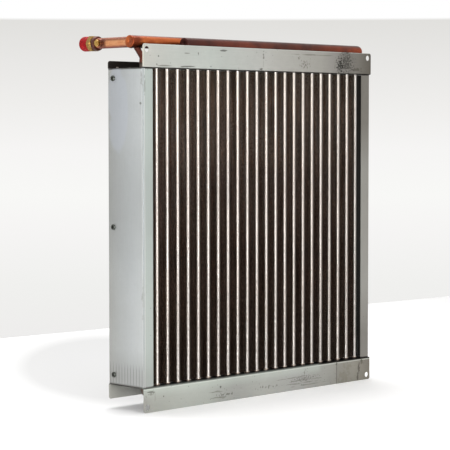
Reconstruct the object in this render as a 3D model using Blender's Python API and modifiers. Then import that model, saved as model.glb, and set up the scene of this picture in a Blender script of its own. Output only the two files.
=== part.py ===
"""Finned-tube heat exchanger coil: two rows of copper hairpins in a folded sheet casing.

Lengths are metres. X runs along the coil's front from left to right, Y from the
front to the rear, and Z up. The origin is midway between the side panels, half way
up the bottom front flange and on its front face, which bolts to a duct or a frame.
"""

import math

import bmesh
import bpy
from mathutils import Matrix, Vector

# Clearances
SEAT = 0.0003            # between pieces that touch or pass through each other
CUT_PAST = 0.002         # how far a cutter runs past the face that it cuts

# Tube field: 3/8 inch tubes on a staggered 25 x 21.65 mm grid
TUBE_RADIUS = 0.00476
TUBE_PITCH = 0.025       # between tubes of one row
ROW_PITCH = 0.02165      # between the two rows, front to rear
PASSES = 4               # hairpins in one circuit from header to header
BEND_LEG = 0.0055        # straight length between the lower web and the hairpin's bend
TUBE_STANDOUT = 0.009    # how far a hairpin's open ends stand above the upper web
BEND_STUB = 0.004        # straight ends of a return bend
BEND_STEPS = 5           # segments of a 180 degree bend
TUBE_FACETS = 2          # bevel_resolution of the 3/8 inch tubes, which gives 8 sides
TUBE_HOLE_SIDES = 8

# Casing sheet metal
SHEET = 0.0012
FOLD_RADIUS = 0.0024     # outer radius of a fold
FOLD_STEPS = 3
PANEL_HEIGHT = 0.551
PANEL_SPAN = 0.5957      # outer face of one side panel to the other's
CASING_DEPTH = 0.0914
SIDE_ROOM = 0.022        # least room from a side panel's outer face to the fins
SHEET_OVERHANG_LEFT = 0.0003   # a tube sheet's end past the side panel's outer face
SHEET_OVERHANG_RIGHT = 0.0036
LEFT_LIP = 0.0221
RIGHT_LIP = 0.0241
LIP_CORNER = 0.0035
TOP_FRONT_FLANGE = 0.0414
BOTTOM_FRONT_FLANGE = 0.0435
TOP_REAR_FLANGE = 0.0140
BOTTOM_REAR_FLANGE = 0.0276
FLANGE_CORNER = 0.0045

# Bolt holes in the front flanges
BOLT_HOLE_RADIUS = 0.0050
BOLT_HOLE_INSET = 0.0093  # from the flange's end and from its free edge
BOLT_HOLE_SIDES = 16

# Side panel screws
SCREW_FROM_REAR = 0.0139
SCREW_FROM_END = 0.0163
SCREW_SHANK_RADIUS = 0.0021
SCREW_LENGTH = 0.0085
SCREW_HEAD_RADIUS = 0.0050
SCREW_HEAD_HEIGHT = 0.0026
SCREW_RIM_HEIGHT = 0.0010   # straight rim of the pan head
SCREW_CROWN_RADIUS = 0.0036
SCREW_CROWN_DROP = 0.0003   # from the middle of the head to the edge of its crown
SCREW_SIDES = 8
SCREW_RECESS_RADIUS = 0.0021
SCREW_RECESS_DEPTH = 0.0014

# Fin pack
FIN_END_GAP = 0.0045     # from the webs to the first and last fin
FIN_ROW_MARGIN = ROW_PITCH / 2
FIN_GROUP_PITCH = 0.0110  # one modelled slab stands for a group of real fins
FIN_GROUP_THICKNESS = 0.0062
FIN_SLOT_DEPTH = 0.0047

# Headers
HEADER_RADIUS = 0.0111
HEADER_SIDES = 14
REAR_HEADER_RISE = 0.0470   # header axis above the side panels' upper edge
FRONT_HEADER_RISE = 0.0447
REAR_HEADER_SET_BACK = 0.0125   # rear header's axis behind the rear tube row
HEADER_PAST_FEEDER = 0.0140     # closed end of the rear header past its last feeder
FRONT_HEADER_START = 0.0086     # closed end of the front header before its first feeder
FRONT_HEADER_PAST_FEEDER = 0.0154
REAR_HEADER_INSET = 0.010       # from the left panel's outer face to the header's end
END_DIMPLE_RADIUS = 0.0055
END_DIMPLE_DEPTH = 0.0022
END_ROUND = 0.0014
FEEDER_NECK = 0.009      # straight socket of a feeder above the tube
FEEDER_BEND = 0.006
FEEDER_BEND_STEPS = 2
DOME_STEPS = 4

# Connections behind the coil
PIPE_RADIUS = 0.009525
PIPE_SIDES = 14
PIPE_FROM_HEADER_END = 0.014
PIPE_END_BEHIND_CASING = 0.0513
BOSS_RADIUS = 0.00775
BOSS_FROM_PIPE_END = 0.0121
BOSS_REACH = 0.0120      # rim of the vent boss from the pipe's axis
BOSS_BORE_RADIUS = 0.0058
BOSS_BORE_DEPTH = 0.0018
PLUG_SHANK_RADIUS = 0.0045
PLUG_STANDOFF = 0.0010   # underside of the plug's head above the boss's rim
PLUG_HEAD = 0.0040
PLUG_ACROSS_FLATS = 0.0106
PLUG_BEVEL = 0.0008
ADAPTER_RADIUS = 0.0129
ADAPTER_ROUND_LENGTH = 0.0080
ADAPTER_HEX_LENGTH = 0.0105
ADAPTER_ACROSS_FLATS = 0.0264
ADAPTER_EDGE = 0.0010
THREAD_RADIUS = 0.0100
THREAD_LENGTH = 0.0125
CAP_RADIUS = 0.0133
CAP_LENGTH = 0.0230
CAP_WALL = 0.0014
CAP_ROUND = 0.0065
CAP_ROUND_STEPS = 3
FITTING_SIDES = 18       # a multiple of six, so that a hexagon's corners fall on points

# Places worked out from the sizes above
BASE = BOTTOM_FRONT_FLANGE / 2          # side panels' lower edge above the origin
TOP = BASE + PANEL_HEIGHT               # side panels' upper edge
LEFT_FACE = -PANEL_SPAN / 2
RIGHT_FACE = PANEL_SPAN / 2
LOWER_WEB_TOP = BASE - SEAT
LOWER_WEB_UNDER = LOWER_WEB_TOP - SHEET
UPPER_WEB_UNDER = TOP + SEAT
UPPER_WEB_TOP = UPPER_WEB_UNDER + SHEET
FIN_FRONT = SHEET + SEAT
FRONT_ROW_Y = FIN_FRONT + FIN_ROW_MARGIN
REAR_ROW_Y = FRONT_ROW_Y + ROW_PITCH
FIN_REAR = REAR_ROW_Y + FIN_ROW_MARGIN
SHEET_LEFT = LEFT_FACE - SHEET_OVERHANG_LEFT
SHEET_RIGHT = RIGHT_FACE + SHEET_OVERHANG_RIGHT
TUBES_PER_ROW = int((PANEL_SPAN - 2 * SIDE_ROOM) / TUBE_PITCH)
FIN_WIDTH = TUBES_PER_ROW * TUBE_PITCH
REAR_ROW_START = -FIN_WIDTH / 2 + TUBE_PITCH / 4
FRONT_ROW_START = REAR_ROW_START + TUBE_PITCH / 2
TUBE_END = UPPER_WEB_TOP + TUBE_STANDOUT
HAIRPIN_BEND_Z = LOWER_WEB_UNDER - BEND_LEG
HOLE_RADIUS = (TUBE_RADIUS + SEAT) / math.cos(math.pi / TUBE_HOLE_SIDES)
REAR_HEADER_Y = REAR_ROW_Y + REAR_HEADER_SET_BACK
REAR_HEADER_Z = TOP + REAR_HEADER_RISE
FRONT_HEADER_Y = FRONT_ROW_Y
FRONT_HEADER_Z = TOP + FRONT_HEADER_RISE
PIPE_END_Y = CASING_DEPTH + PIPE_END_BEHIND_CASING
LEFTWARD = Vector((-1, 0, 0))
RIGHTWARD = Vector((1, 0, 0))
REARWARD = Vector((0, 1, 0))
UPWARD = Vector((0, 0, 1))


def clear_scene():
    for old in list(bpy.data.objects):
        bpy.data.objects.remove(old, do_unlink=True)


def new_collection(name):
    collection = bpy.data.collections.new(name)
    bpy.context.scene.collection.children.link(collection)
    return collection


def new_material(name, colour, roughness, metallic):
    material = bpy.data.materials.new(name)
    material.use_nodes = True
    shader = material.node_tree.nodes["Principled BSDF"]
    shader.inputs["Base Color"].default_value = (*colour, 1.0)
    shader.inputs["Roughness"].default_value = roughness
    shader.inputs["Metallic"].default_value = metallic
    return material


clear_scene()
COIL = new_collection("heat_exchanger_coil")
CUTTERS = new_collection("cutters")
GALVANISED = new_material("galvanised steel", (0.50, 0.52, 0.50), 0.45, 0.9)
ALUMINIUM = new_material("fin aluminium", (0.10, 0.09, 0.08), 0.6, 0.6)
COPPER = new_material("bright copper", (0.62, 0.27, 0.12), 0.35, 1.0)
OXIDISED = new_material("oxidised copper", (0.20, 0.06, 0.035), 0.5, 0.8)
BRASS = new_material("brass", (0.55, 0.36, 0.13), 0.35, 1.0)
RED_PLASTIC = new_material("red plastic", (0.50, 0.03, 0.04), 0.4, 0.0)
ZINC = new_material("zinc plated screw", (0.55, 0.55, 0.53), 0.35, 1.0)


def add_object(name, mesh, material, collection=None):
    piece = bpy.data.objects.new(name, mesh)
    piece.data.materials.append(material)
    (collection or COIL).objects.link(piece)
    return piece


def hide_cutter(piece):
    """A cutter or a joined shape is a guide: it is drawn as wire and left out of renders."""
    piece.hide_render = True
    piece.display_type = "WIRE"
    return piece


def smooth(piece, degrees=35):
    piece.data.shade_smooth()
    piece.data.set_sharp_from_angle(angle=math.radians(degrees))


def boolean(piece, other, operation):
    modifier = piece.modifiers.new(operation.lower(), "BOOLEAN")
    modifier.operation = operation
    modifier.solver = "EXACT"
    modifier.object = other


def arc_points(centre, from_vector, to_vector, angle, steps):
    """Points on an arc that starts along from_vector and turns towards to_vector."""
    return [
        centre + from_vector * math.cos(angle * i / steps) + to_vector * math.sin(angle * i / steps)
        for i in range(steps + 1)
    ]


def rounded_path(corners, radius, steps):
    """A plane path whose inner corners are arcs tangent to both of their straight runs."""
    points = [corners[0]]
    for before, corner, after in zip(corners, corners[1:], corners[2:]):
        back = (before - corner).normalized()
        ahead = (after - corner).normalized()
        half = back.angle(ahead) / 2
        reach = radius / math.tan(half)
        centre = corner + (back + ahead).normalized() * (radius / math.sin(half))
        start = corner + back * reach - centre
        end = corner + ahead * reach - centre
        turn = start.angle(end)
        side = (end - start * math.cos(turn)) / math.sin(turn)
        points += arc_points(centre, start, side, turn, steps)
    return points + [corners[-1]]


def tube_object(name, points, radius, facets, material, collection=None):
    """A tube along points: a bevelled curve with filled caps, made a mesh and welded."""
    curve = bpy.data.curves.new(name + "_path", "CURVE")
    curve.dimensions = "3D"
    curve.bevel_depth = radius
    curve.bevel_resolution = facets
    curve.use_fill_caps = True
    spline = curve.splines.new("POLY")
    spline.points.add(len(points) - 1)
    for spot, point in zip(spline.points, points):
        spot.co = (*point, 1.0)
    guide = bpy.data.objects.new(name + "_path", curve)
    CUTTERS.objects.link(guide)
    bpy.context.view_layer.update()
    evaluated = guide.evaluated_get(bpy.context.evaluated_depsgraph_get())
    mesh = bpy.data.meshes.new_from_object(evaluated)
    weld = bmesh.new()
    weld.from_mesh(mesh)
    bmesh.ops.remove_doubles(weld, verts=weld.verts, dist=1e-6)
    bmesh.ops.recalc_face_normals(weld, faces=weld.faces)
    weld.to_mesh(mesh)
    weld.free()
    bpy.data.objects.remove(guide, do_unlink=True)
    mesh.materials.clear()
    piece = add_object(name, mesh, material, collection)
    smooth(piece)
    return piece


def turned(name, profile, sides, foot, axis, material, collection=None):
    """A turned piece: (radius, height) points from its top down, spun about axis from foot."""
    mesh = bpy.data.meshes.new(name)
    line = [(radius, 0.0, height) for radius, height in profile]
    mesh.from_pydata(line, [(i, i + 1) for i in range(len(line) - 1)], [])
    piece = add_object(name, mesh, material, collection)
    screw = piece.modifiers.new("turn", "SCREW")
    screw.steps = sides
    screw.render_steps = sides
    screw.use_merge_vertices = True
    screw.merge_threshold = 1e-5
    screw.use_smooth_shade = True
    piece.rotation_euler = axis.to_track_quat("Z", "Y").to_euler()
    piece.location = foot
    return piece


def hexagon_reach(half_flats, turn):
    """From a hexagon's middle to its edge, at an angle from one of its corners."""
    return half_flats / math.cos(turn % (math.pi / 3) - math.pi / 6)


def stacked_rings(name, rings, foot, axis, first, material):
    """A fitting lofted through rings of (height, radius, six-sided), closed at both ends.

    Each ring's points start in the direction first. A six-sided ring has its corner
    there, and its radius is half its width across flats.
    """
    across = axis.cross(first)
    turns = [2 * math.pi * i / FITTING_SIDES for i in range(FITTING_SIDES)]
    mesh = bmesh.new()
    levels = []
    for height, radius, six_sided in rings:
        level = []
        for turn in turns:
            reach = hexagon_reach(radius, turn) if six_sided else radius
            ray = first * math.cos(turn) + across * math.sin(turn)
            level.append(mesh.verts.new(foot + axis * height + ray * reach))
        levels.append(level)
    for lower, upper in zip(levels, levels[1:]):
        for i in range(FITTING_SIDES):
            after = (i + 1) % FITTING_SIDES
            mesh.faces.new((lower[i], lower[after], upper[after], upper[i]))
    mesh.faces.new(levels[0])
    mesh.faces.new(levels[-1])
    bmesh.ops.recalc_face_normals(mesh, faces=mesh.faces)
    data = bpy.data.meshes.new(name)
    mesh.to_mesh(data)
    mesh.free()
    piece = add_object(name, data, material)
    smooth(piece)


def prisms(name, spots, radius, sides, reach, axis):
    """One cutter: a prism of each spot, centred there and reaching both ways along axis."""
    mesh = bmesh.new()
    turn = axis.to_track_quat("Z", "Y").to_matrix().to_4x4()
    half_side = Matrix.Rotation(math.pi / sides, 4, "Z")
    for spot in spots:
        bmesh.ops.create_cone(
            mesh, cap_ends=True, segments=sides, radius1=radius, radius2=radius,
            depth=2 * reach, matrix=Matrix.Translation(spot) @ turn @ half_side,
        )
    data = bpy.data.meshes.new(name)
    mesh.to_mesh(data)
    mesh.free()
    return hide_cutter(add_object(name, data, GALVANISED, CUTTERS))


def joined(name, pieces, material):
    """Separate closed shapes as one mesh, so that one Boolean can take them all."""
    mesh = bmesh.new()
    for piece in pieces:
        mesh.from_mesh(piece.data)
        bpy.data.objects.remove(piece, do_unlink=True)
    data = bpy.data.meshes.new(name)
    mesh.to_mesh(data)
    mesh.free()
    return hide_cutter(add_object(name, data, material, CUTTERS))


def folded_sheet(name, section, along, start, end, corner_radius, inward):
    """Sheet metal with the open section (its outer face) run along one axis.

    The free corners are rounded first, then the sheet gets its thickness.
    """
    path = rounded_path(section, FOLD_RADIUS, FOLD_STEPS)
    count = len(path)
    spots = [p + along * start for p in path] + [p + along * end for p in path]
    faces = [(i, i + 1, count + i + 1, count + i) for i in range(count - 1)]
    mesh = bpy.data.meshes.new(name)
    mesh.from_pydata(spots, [], faces)
    piece = add_object(name, mesh, GALVANISED)
    corners = piece.vertex_groups.new(name="free_corners")
    corners.add([0, count - 1, count, 2 * count - 1], 1.0, "REPLACE")
    rounding = piece.modifiers.new("rounded corners", "BEVEL")
    rounding.affect = "VERTICES"
    rounding.limit_method = "VGROUP"
    rounding.vertex_group = "free_corners"
    rounding.width = corner_radius
    rounding.segments = FOLD_STEPS
    thickness = piece.modifiers.new("sheet", "SOLIDIFY")
    thickness.thickness = SHEET
    thickness.offset = inward
    thickness.use_even_offset = True
    return piece


def front_tube(number):
    return Vector((FRONT_ROW_START + number * TUBE_PITCH, FRONT_ROW_Y, 0))


def rear_tube(number):
    return Vector((REAR_ROW_START + number * TUBE_PITCH, REAR_ROW_Y, 0))


def at_height(spot, z):
    return Vector((spot.x, spot.y, z))


def circuits():
    """First and last hairpin of each circuit; the last circuit takes what is left."""
    starts = range(0, TUBES_PER_ROW, PASSES)
    return [(first, min(first + PASSES, TUBES_PER_ROW) - 1) for first in starts]


def u_bend_points(from_spot, to_spot, leg_end, bend_z, direction):
    """A leg, half a turn, and a leg back; direction is +1 where the bend is above."""
    middle = at_height((from_spot + to_spot) / 2, bend_z)
    across = (from_spot - to_spot) / 2
    outward = Vector((0, 0, direction)) * across.length
    bend = arc_points(middle, across, outward, math.pi, BEND_STEPS)
    return [at_height(from_spot, leg_end)] + bend + [at_height(to_spot, leg_end)]


def build_hairpins():
    """Each hairpin joins a rear tube to the front tube half a pitch to its right, below."""
    for number in range(TUBES_PER_ROW):
        points = u_bend_points(
            rear_tube(number), front_tube(number), TUBE_END, HAIRPIN_BEND_Z, -1
        )
        tube_object(f"hairpin_{number + 1:02d}", points, TUBE_RADIUS, TUBE_FACETS, COPPER)


def build_return_bends():
    """Within a circuit each front tube is joined above to the next rear tube."""
    foot = TUBE_END + SEAT
    count = 0
    for first, last in circuits():
        for number in range(first, last):
            count += 1
            points = u_bend_points(
                front_tube(number), rear_tube(number + 1), foot, foot + BEND_STUB, 1
            )
            tube_object(f"return_bend_{count:02d}", points, TUBE_RADIUS, TUBE_FACETS, COPPER)


def build_tube_sheet(name, web_z, up, front_flange, rear_flange):
    """A channel whose flanges point away from the fins, with a hole for every tube."""
    section = [
        Vector((0, 0, web_z + up * front_flange)),
        Vector((0, 0, web_z)),
        Vector((0, CASING_DEPTH, web_z)),
        Vector((0, CASING_DEPTH, web_z + up * rear_flange)),
    ]
    sheet = folded_sheet(name, section, RIGHTWARD, SHEET_LEFT, SHEET_RIGHT, FLANGE_CORNER, -up)
    spots = [at_height(row(n), web_z) for row in (front_tube, rear_tube) for n in range(TUBES_PER_ROW)]
    holes = prisms(
        name + "_tube_holes", spots, HOLE_RADIUS, TUBE_HOLE_SIDES, SHEET + CUT_PAST, UPWARD
    )
    boolean(sheet, holes, "DIFFERENCE")
    bolt_z = web_z + up * (front_flange - BOLT_HOLE_INSET)
    bolt_places = (SHEET_LEFT + BOLT_HOLE_INSET, SHEET_RIGHT - BOLT_HOLE_INSET)
    bolts = [Vector((x, 0, bolt_z)) for x in bolt_places]
    bolt_holes = prisms(
        name + "_bolt_holes", bolts, BOLT_HOLE_RADIUS, BOLT_HOLE_SIDES, SHEET + CUT_PAST, REARWARD
    )
    boolean(sheet, bolt_holes, "DIFFERENCE")


def screw_heights():
    return (BASE + SCREW_FROM_END, BASE + PANEL_HEIGHT / 2, TOP - SCREW_FROM_END)


def build_side_panel(side, face_x, lip, sign):
    """A C-shaped panel; sign is +1 where the lips turn towards +X."""
    section = [
        Vector((face_x + sign * lip, 0, 0)),
        Vector((face_x, 0, 0)),
        Vector((face_x, CASING_DEPTH, 0)),
        Vector((face_x + sign * lip, CASING_DEPTH, 0)),
    ]
    name = f"{side}_side_panel"
    panel = folded_sheet(name, section, UPWARD, BASE, TOP, LIP_CORNER, sign)
    screw_y = CASING_DEPTH - SCREW_FROM_REAR
    spots = [Vector((face_x, screw_y, z)) for z in screw_heights()]
    holes = prisms(
        name + "_screw_holes", spots, (SCREW_SHANK_RADIUS + SEAT) / math.cos(math.pi / SCREW_SIDES),
        SCREW_SIDES, SHEET + CUT_PAST, RIGHTWARD
    )
    boolean(panel, holes, "DIFFERENCE")
    outward = LEFTWARD * sign
    for number, spot in enumerate(spots):
        build_screw(f"{side}_screw_{number + 1}", spot + outward * SEAT, outward)


def build_screw(name, seat, outward):
    """A pan-head screw, turned about its own axis, with the top of its drive recess."""
    head = SCREW_HEAD_HEIGHT
    profile = [
        (0, head - SCREW_RECESS_DEPTH),
        (SCREW_RECESS_RADIUS, head),
        (SCREW_CROWN_RADIUS, head - SCREW_CROWN_DROP),
        (SCREW_HEAD_RADIUS, SCREW_RIM_HEIGHT),
        (SCREW_HEAD_RADIUS, 0),
        (SCREW_SHANK_RADIUS, 0),
        (SCREW_SHANK_RADIUS, SCREW_SHANK_RADIUS - SCREW_LENGTH),
        (0, -SCREW_LENGTH),
    ]
    turned(name, profile, SCREW_SIDES, seat, outward, ZINC)


def build_fin_pack():
    """The stack of fins as one block, bored for the tubes, with slots front and rear."""
    low = BASE + FIN_END_GAP
    high = TOP - FIN_END_GAP
    slots = int((high - low - FIN_GROUP_THICKNESS) / FIN_GROUP_PITCH)
    step = (high - low - FIN_GROUP_THICKNESS) / slots
    front = []
    for number in range(slots):
        top = low + number * step + FIN_GROUP_THICKNESS
        above = low + (number + 1) * step
        front += [(FIN_FRONT, top), (FIN_FRONT + FIN_SLOT_DEPTH, top)]
        front += [(FIN_FRONT + FIN_SLOT_DEPTH, above), (FIN_FRONT, above)]
    rear = [(FIN_FRONT + FIN_REAR - y, z) for y, z in reversed(front)]
    outline = [(FIN_FRONT, low)] + front + [(FIN_FRONT, high), (FIN_REAR, high)] + rear
    outline += [(FIN_REAR, low)]
    mesh = bmesh.new()
    corners = [mesh.verts.new((-FIN_WIDTH / 2, y, z)) for y, z in outline]
    end = mesh.faces.new(corners)
    swept = bmesh.ops.extrude_face_region(mesh, geom=[end])["geom"]
    moved = [part for part in swept if isinstance(part, bmesh.types.BMVert)]
    bmesh.ops.translate(mesh, verts=moved, vec=RIGHTWARD * FIN_WIDTH)
    bmesh.ops.recalc_face_normals(mesh, faces=mesh.faces)
    data = bpy.data.meshes.new("fin_pack")
    mesh.to_mesh(data)
    mesh.free()
    pack = add_object("fin_pack", data, ALUMINIUM)
    middle = (low + high) / 2
    spots = [at_height(row(n), middle) for row in (front_tube, rear_tube) for n in range(TUBES_PER_ROW)]
    reach = (high - low) / 2 + CUT_PAST
    bores = prisms("fin_bores", spots, HOLE_RADIUS, TUBE_HOLE_SIDES, reach, UPWARD)
    boolean(pack, bores, "DIFFERENCE")


def closed_end(radius, height, dimple):
    """Profile of a closed pipe end from the axis outwards: rounded rim and shallow dimple."""
    points = [(0, height - (END_DIMPLE_DEPTH if dimple else 0))]
    if dimple:
        points += [(END_DIMPLE_RADIUS, height)]
    return points + [(radius - END_ROUND, height), (radius, height - END_ROUND)]


def domed_end(radius, height, steps):
    """Profile of a hemispherical end from its tip outwards."""
    turns = [math.pi / 2 * i / steps for i in range(steps + 1)]
    return [(radius * math.sin(t), height - radius + radius * math.cos(t)) for t in turns]


def flipped(profile, length):
    """The same end profile at the foot of a piece, from the wall back to the axis."""
    return [(radius, length - height) for radius, height in reversed(profile)]


def feeder_points(tube, header_y, header_z):
    """From the tube's end straight up, over in an easy bend, and into the header's axis."""
    foot = at_height(tube, TUBE_END + SEAT)
    if abs(header_y - tube.y) < SEAT:
        return [foot, at_height(tube, header_z)]
    neck = at_height(tube, foot.z + FEEDER_NECK)
    under = Vector((tube.x, header_y, header_z - HEADER_RADIUS))
    middle = Vector((tube.x, header_y, header_z))
    return rounded_path([foot, neck, under, middle], FEEDER_BEND, FEEDER_BEND_STEPS)


def build_header(name, start_x, y, z, profile, tubes, material):
    """A closed header pipe along X with one feeder for each circuit."""
    foot = Vector((start_x, y, z))
    header = turned(name, profile, HEADER_SIDES, foot, RIGHTWARD, material)
    feeders = [
        tube_object(f"{name}_feeder_{n}", feeder_points(tube, y, z), TUBE_RADIUS, TUBE_FACETS,
                    material, CUTTERS)
        for n, tube in enumerate(tubes)
    ]
    boolean(header, joined(name + "_feeders", feeders, material), "UNION")


def build_headers():
    """Both headers; returns the X of the rear one's left end and the front one's right end."""
    rear_start = LEFT_FACE + REAR_HEADER_INSET
    rear_feeds = [rear_tube(first) for first, last in circuits()]
    rear_length = rear_feeds[-1].x + HEADER_PAST_FEEDER - rear_start
    end = closed_end(HEADER_RADIUS, rear_length, True)
    build_header(
        "rear_header", rear_start, REAR_HEADER_Y, REAR_HEADER_Z,
        end + flipped(end, rear_length), rear_feeds, COPPER,
    )
    front_feeds = [front_tube(last) for first, last in circuits()]
    front_start = front_feeds[0].x - FRONT_HEADER_START
    front_length = front_feeds[-1].x + FRONT_HEADER_PAST_FEEDER - front_start
    dome = domed_end(HEADER_RADIUS, front_length, DOME_STEPS)
    flat = flipped(closed_end(HEADER_RADIUS, front_length, True), front_length)
    build_header(
        "front_header", front_start, FRONT_HEADER_Y, FRONT_HEADER_Z,
        dome + flat, front_feeds, OXIDISED,
    )
    return rear_start, front_start + front_length


def build_connection(side, x, header_y, z, outward, material):
    """Pipe from a header to the rear, with a vent plug, a brass adapter and a cap."""
    start_y = header_y + HEADER_RADIUS + SEAT
    length = PIPE_END_Y - start_y
    pipe = turned(
        f"{side}_connection_pipe",
        [(0, length), (PIPE_RADIUS, length), (PIPE_RADIUS, 0), (0, 0)],
        PIPE_SIDES, Vector((x, start_y, z)), REARWARD, material,
    )
    boss_foot = Vector((x, PIPE_END_Y - BOSS_FROM_PIPE_END, z))
    bore_floor = BOSS_REACH - BOSS_BORE_DEPTH
    boss = turned(
        f"{side}_vent_boss",
        [(0, bore_floor), (BOSS_BORE_RADIUS, bore_floor), (BOSS_BORE_RADIUS, BOSS_REACH),
         (BOSS_RADIUS, BOSS_REACH), (BOSS_RADIUS, 0), (0, 0)],
        PIPE_SIDES, boss_foot, outward, material, CUTTERS,
    )
    boolean(pipe, hide_cutter(boss), "UNION")
    build_vent_plug(side, boss_foot + outward * (bore_floor + SEAT), outward)
    build_adapter(side, Vector((x, PIPE_END_Y + SEAT, z)))
    cap_y = PIPE_END_Y + ADAPTER_ROUND_LENGTH + ADAPTER_HEX_LENGTH + 2 * SEAT
    build_cap(side, Vector((x, cap_y, z)))


def build_vent_plug(side, foot, outward):
    """A brass plug: a round shank down in the boss's bore and a bevelled hexagon head."""
    under = BOSS_BORE_DEPTH - SEAT + PLUG_STANDOFF
    top = under + PLUG_HEAD
    half_flats = PLUG_ACROSS_FLATS / 2
    rings = [
        (0, PLUG_SHANK_RADIUS, False),
        (under, PLUG_SHANK_RADIUS, False),
        (under, half_flats, True),
        (top - PLUG_BEVEL, half_flats, True),
        (top, half_flats - PLUG_BEVEL, False),
    ]
    stacked_rings(f"{side}_vent_plug", rings, foot, outward, UPWARD, BRASS)


def build_adapter(side, foot):
    """A brass adapter: a round body brazed to the pipe, a hexagon, and a male thread's core."""
    hex_end = ADAPTER_ROUND_LENGTH + ADAPTER_HEX_LENGTH
    half_flats = ADAPTER_ACROSS_FLATS / 2
    rings = [
        (0, ADAPTER_RADIUS - ADAPTER_EDGE, False),
        (ADAPTER_EDGE, ADAPTER_RADIUS, False),
        (ADAPTER_ROUND_LENGTH, ADAPTER_RADIUS, False),
        (ADAPTER_ROUND_LENGTH, half_flats, True),
        (hex_end, half_flats, True),
        (hex_end, THREAD_RADIUS, False),
        (hex_end + THREAD_LENGTH, THREAD_RADIUS, False),
    ]
    stacked_rings(f"{side}_adapter", rings, foot, REARWARD, LEFTWARD, BRASS)


def build_cap(side, foot):
    """A push-on plastic cap: a cup with a rounded closed end, open towards the adapter."""
    turns = [math.pi / 2 * i / CAP_ROUND_STEPS for i in range(CAP_ROUND_STEPS + 1)]
    round_radius = CAP_RADIUS - CAP_ROUND
    outside = [
        (round_radius + CAP_ROUND * math.sin(t), CAP_LENGTH - CAP_ROUND + CAP_ROUND * math.cos(t))
        for t in turns
    ]
    inner = CAP_RADIUS - CAP_WALL
    floor = CAP_LENGTH - CAP_WALL
    inner_round = CAP_ROUND - CAP_WALL
    inside = [
        (round_radius + inner_round * math.sin(t), floor - inner_round + inner_round * math.cos(t))
        for t in reversed(turns)
    ]
    profile = [(0, CAP_LENGTH)] + outside + [(CAP_RADIUS, 0), (inner, 0)] + inside + [(0, floor)]
    turned(f"{side}_cap", profile, FITTING_SIDES, foot, REARWARD, RED_PLASTIC)


def build_coil():
    build_tube_sheet("top_tube_sheet", UPPER_WEB_UNDER, 1, TOP_FRONT_FLANGE, TOP_REAR_FLANGE)
    build_tube_sheet(
        "bottom_tube_sheet", LOWER_WEB_TOP, -1, BOTTOM_FRONT_FLANGE, BOTTOM_REAR_FLANGE
    )
    build_side_panel("left", LEFT_FACE, LEFT_LIP, 1)
    build_side_panel("right", RIGHT_FACE, RIGHT_LIP, -1)
    build_fin_pack()
    build_hairpins()
    build_return_bends()
    rear_header_left, front_header_right = build_headers()
    build_connection(
        "left", rear_header_left + PIPE_FROM_HEADER_END, REAR_HEADER_Y, REAR_HEADER_Z,
        LEFTWARD, COPPER,
    )
    build_connection(
        "right", front_header_right - PIPE_FROM_HEADER_END, FRONT_HEADER_Y, FRONT_HEADER_Z,
        RIGHTWARD, COPPER,
    )


build_coil()
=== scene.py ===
# %% [markdown]
# # A finned-tube heat exchanger coil
#
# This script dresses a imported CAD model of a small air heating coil: two rows of copper tubes
# through a pack of thin aluminium fins, held by a folded casing of galvanised sheet steel, with
# two copper headers on top. Every shape is worked out with numpy as a surface of two parameters,
# and every finish is made of shader nodes. Lengths are metres, in the same frame as the CAD:
# X runs along the front from left to right, Y from the front to the rear, and Z up.

import bpy
import numpy as np
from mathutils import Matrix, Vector


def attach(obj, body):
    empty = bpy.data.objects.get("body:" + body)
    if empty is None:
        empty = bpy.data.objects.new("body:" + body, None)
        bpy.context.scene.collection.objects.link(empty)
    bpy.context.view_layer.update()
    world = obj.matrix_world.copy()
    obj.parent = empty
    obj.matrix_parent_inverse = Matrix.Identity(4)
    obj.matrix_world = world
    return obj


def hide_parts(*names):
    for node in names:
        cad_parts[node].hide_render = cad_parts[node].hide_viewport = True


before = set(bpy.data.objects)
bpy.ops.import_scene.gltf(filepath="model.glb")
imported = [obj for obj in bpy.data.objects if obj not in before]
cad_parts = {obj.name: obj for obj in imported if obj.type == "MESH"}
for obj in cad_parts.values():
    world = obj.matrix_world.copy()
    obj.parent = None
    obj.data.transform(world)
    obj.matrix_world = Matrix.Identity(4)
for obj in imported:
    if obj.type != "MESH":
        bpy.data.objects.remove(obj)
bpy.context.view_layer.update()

# %% [markdown]
# ## The camera
#
# The photograph looks at the coil's front left corner from a little above its middle. The place
# and the lens come from the corners of the casing: 1772 pixels of focal length on a 450 pixel
# image is a lens of 141.8 mm on a 36 mm sensor, which is a long lens from about 3.2 metres away.

# %% Camera
FOCAL_PIXELS = 1772
IMAGE_PIXELS = 450
SENSOR_MM = 36.0

camera_data = bpy.data.cameras.new("photo_camera")
camera_data.sensor_width = SENSOR_MM
camera_data.lens = FOCAL_PIXELS / IMAGE_PIXELS * SENSOR_MM
camera_data.clip_end = 100.0
camera = bpy.data.objects.new("photo_camera", camera_data)
camera.location = (-2.34705, -2.24480, 0.47085)
camera.rotation_euler = np.radians([86.853, 0.03, -45.03])
bpy.context.scene.collection.objects.link(camera)
bpy.context.scene.camera = camera
print("lens", round(camera_data.lens, 2), "mm")

# %% [markdown]
# ## Sizes
#
# The coil is sheet metal and tube, so a few sizes give all of its shapes: the tube's diameter,
# the two pitches of the tube field, and the heights of the two webs that the tubes pass through.
# They repeat the CAD model's own values, so that each dressed piece lands on the solid it stands
# for.

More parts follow.
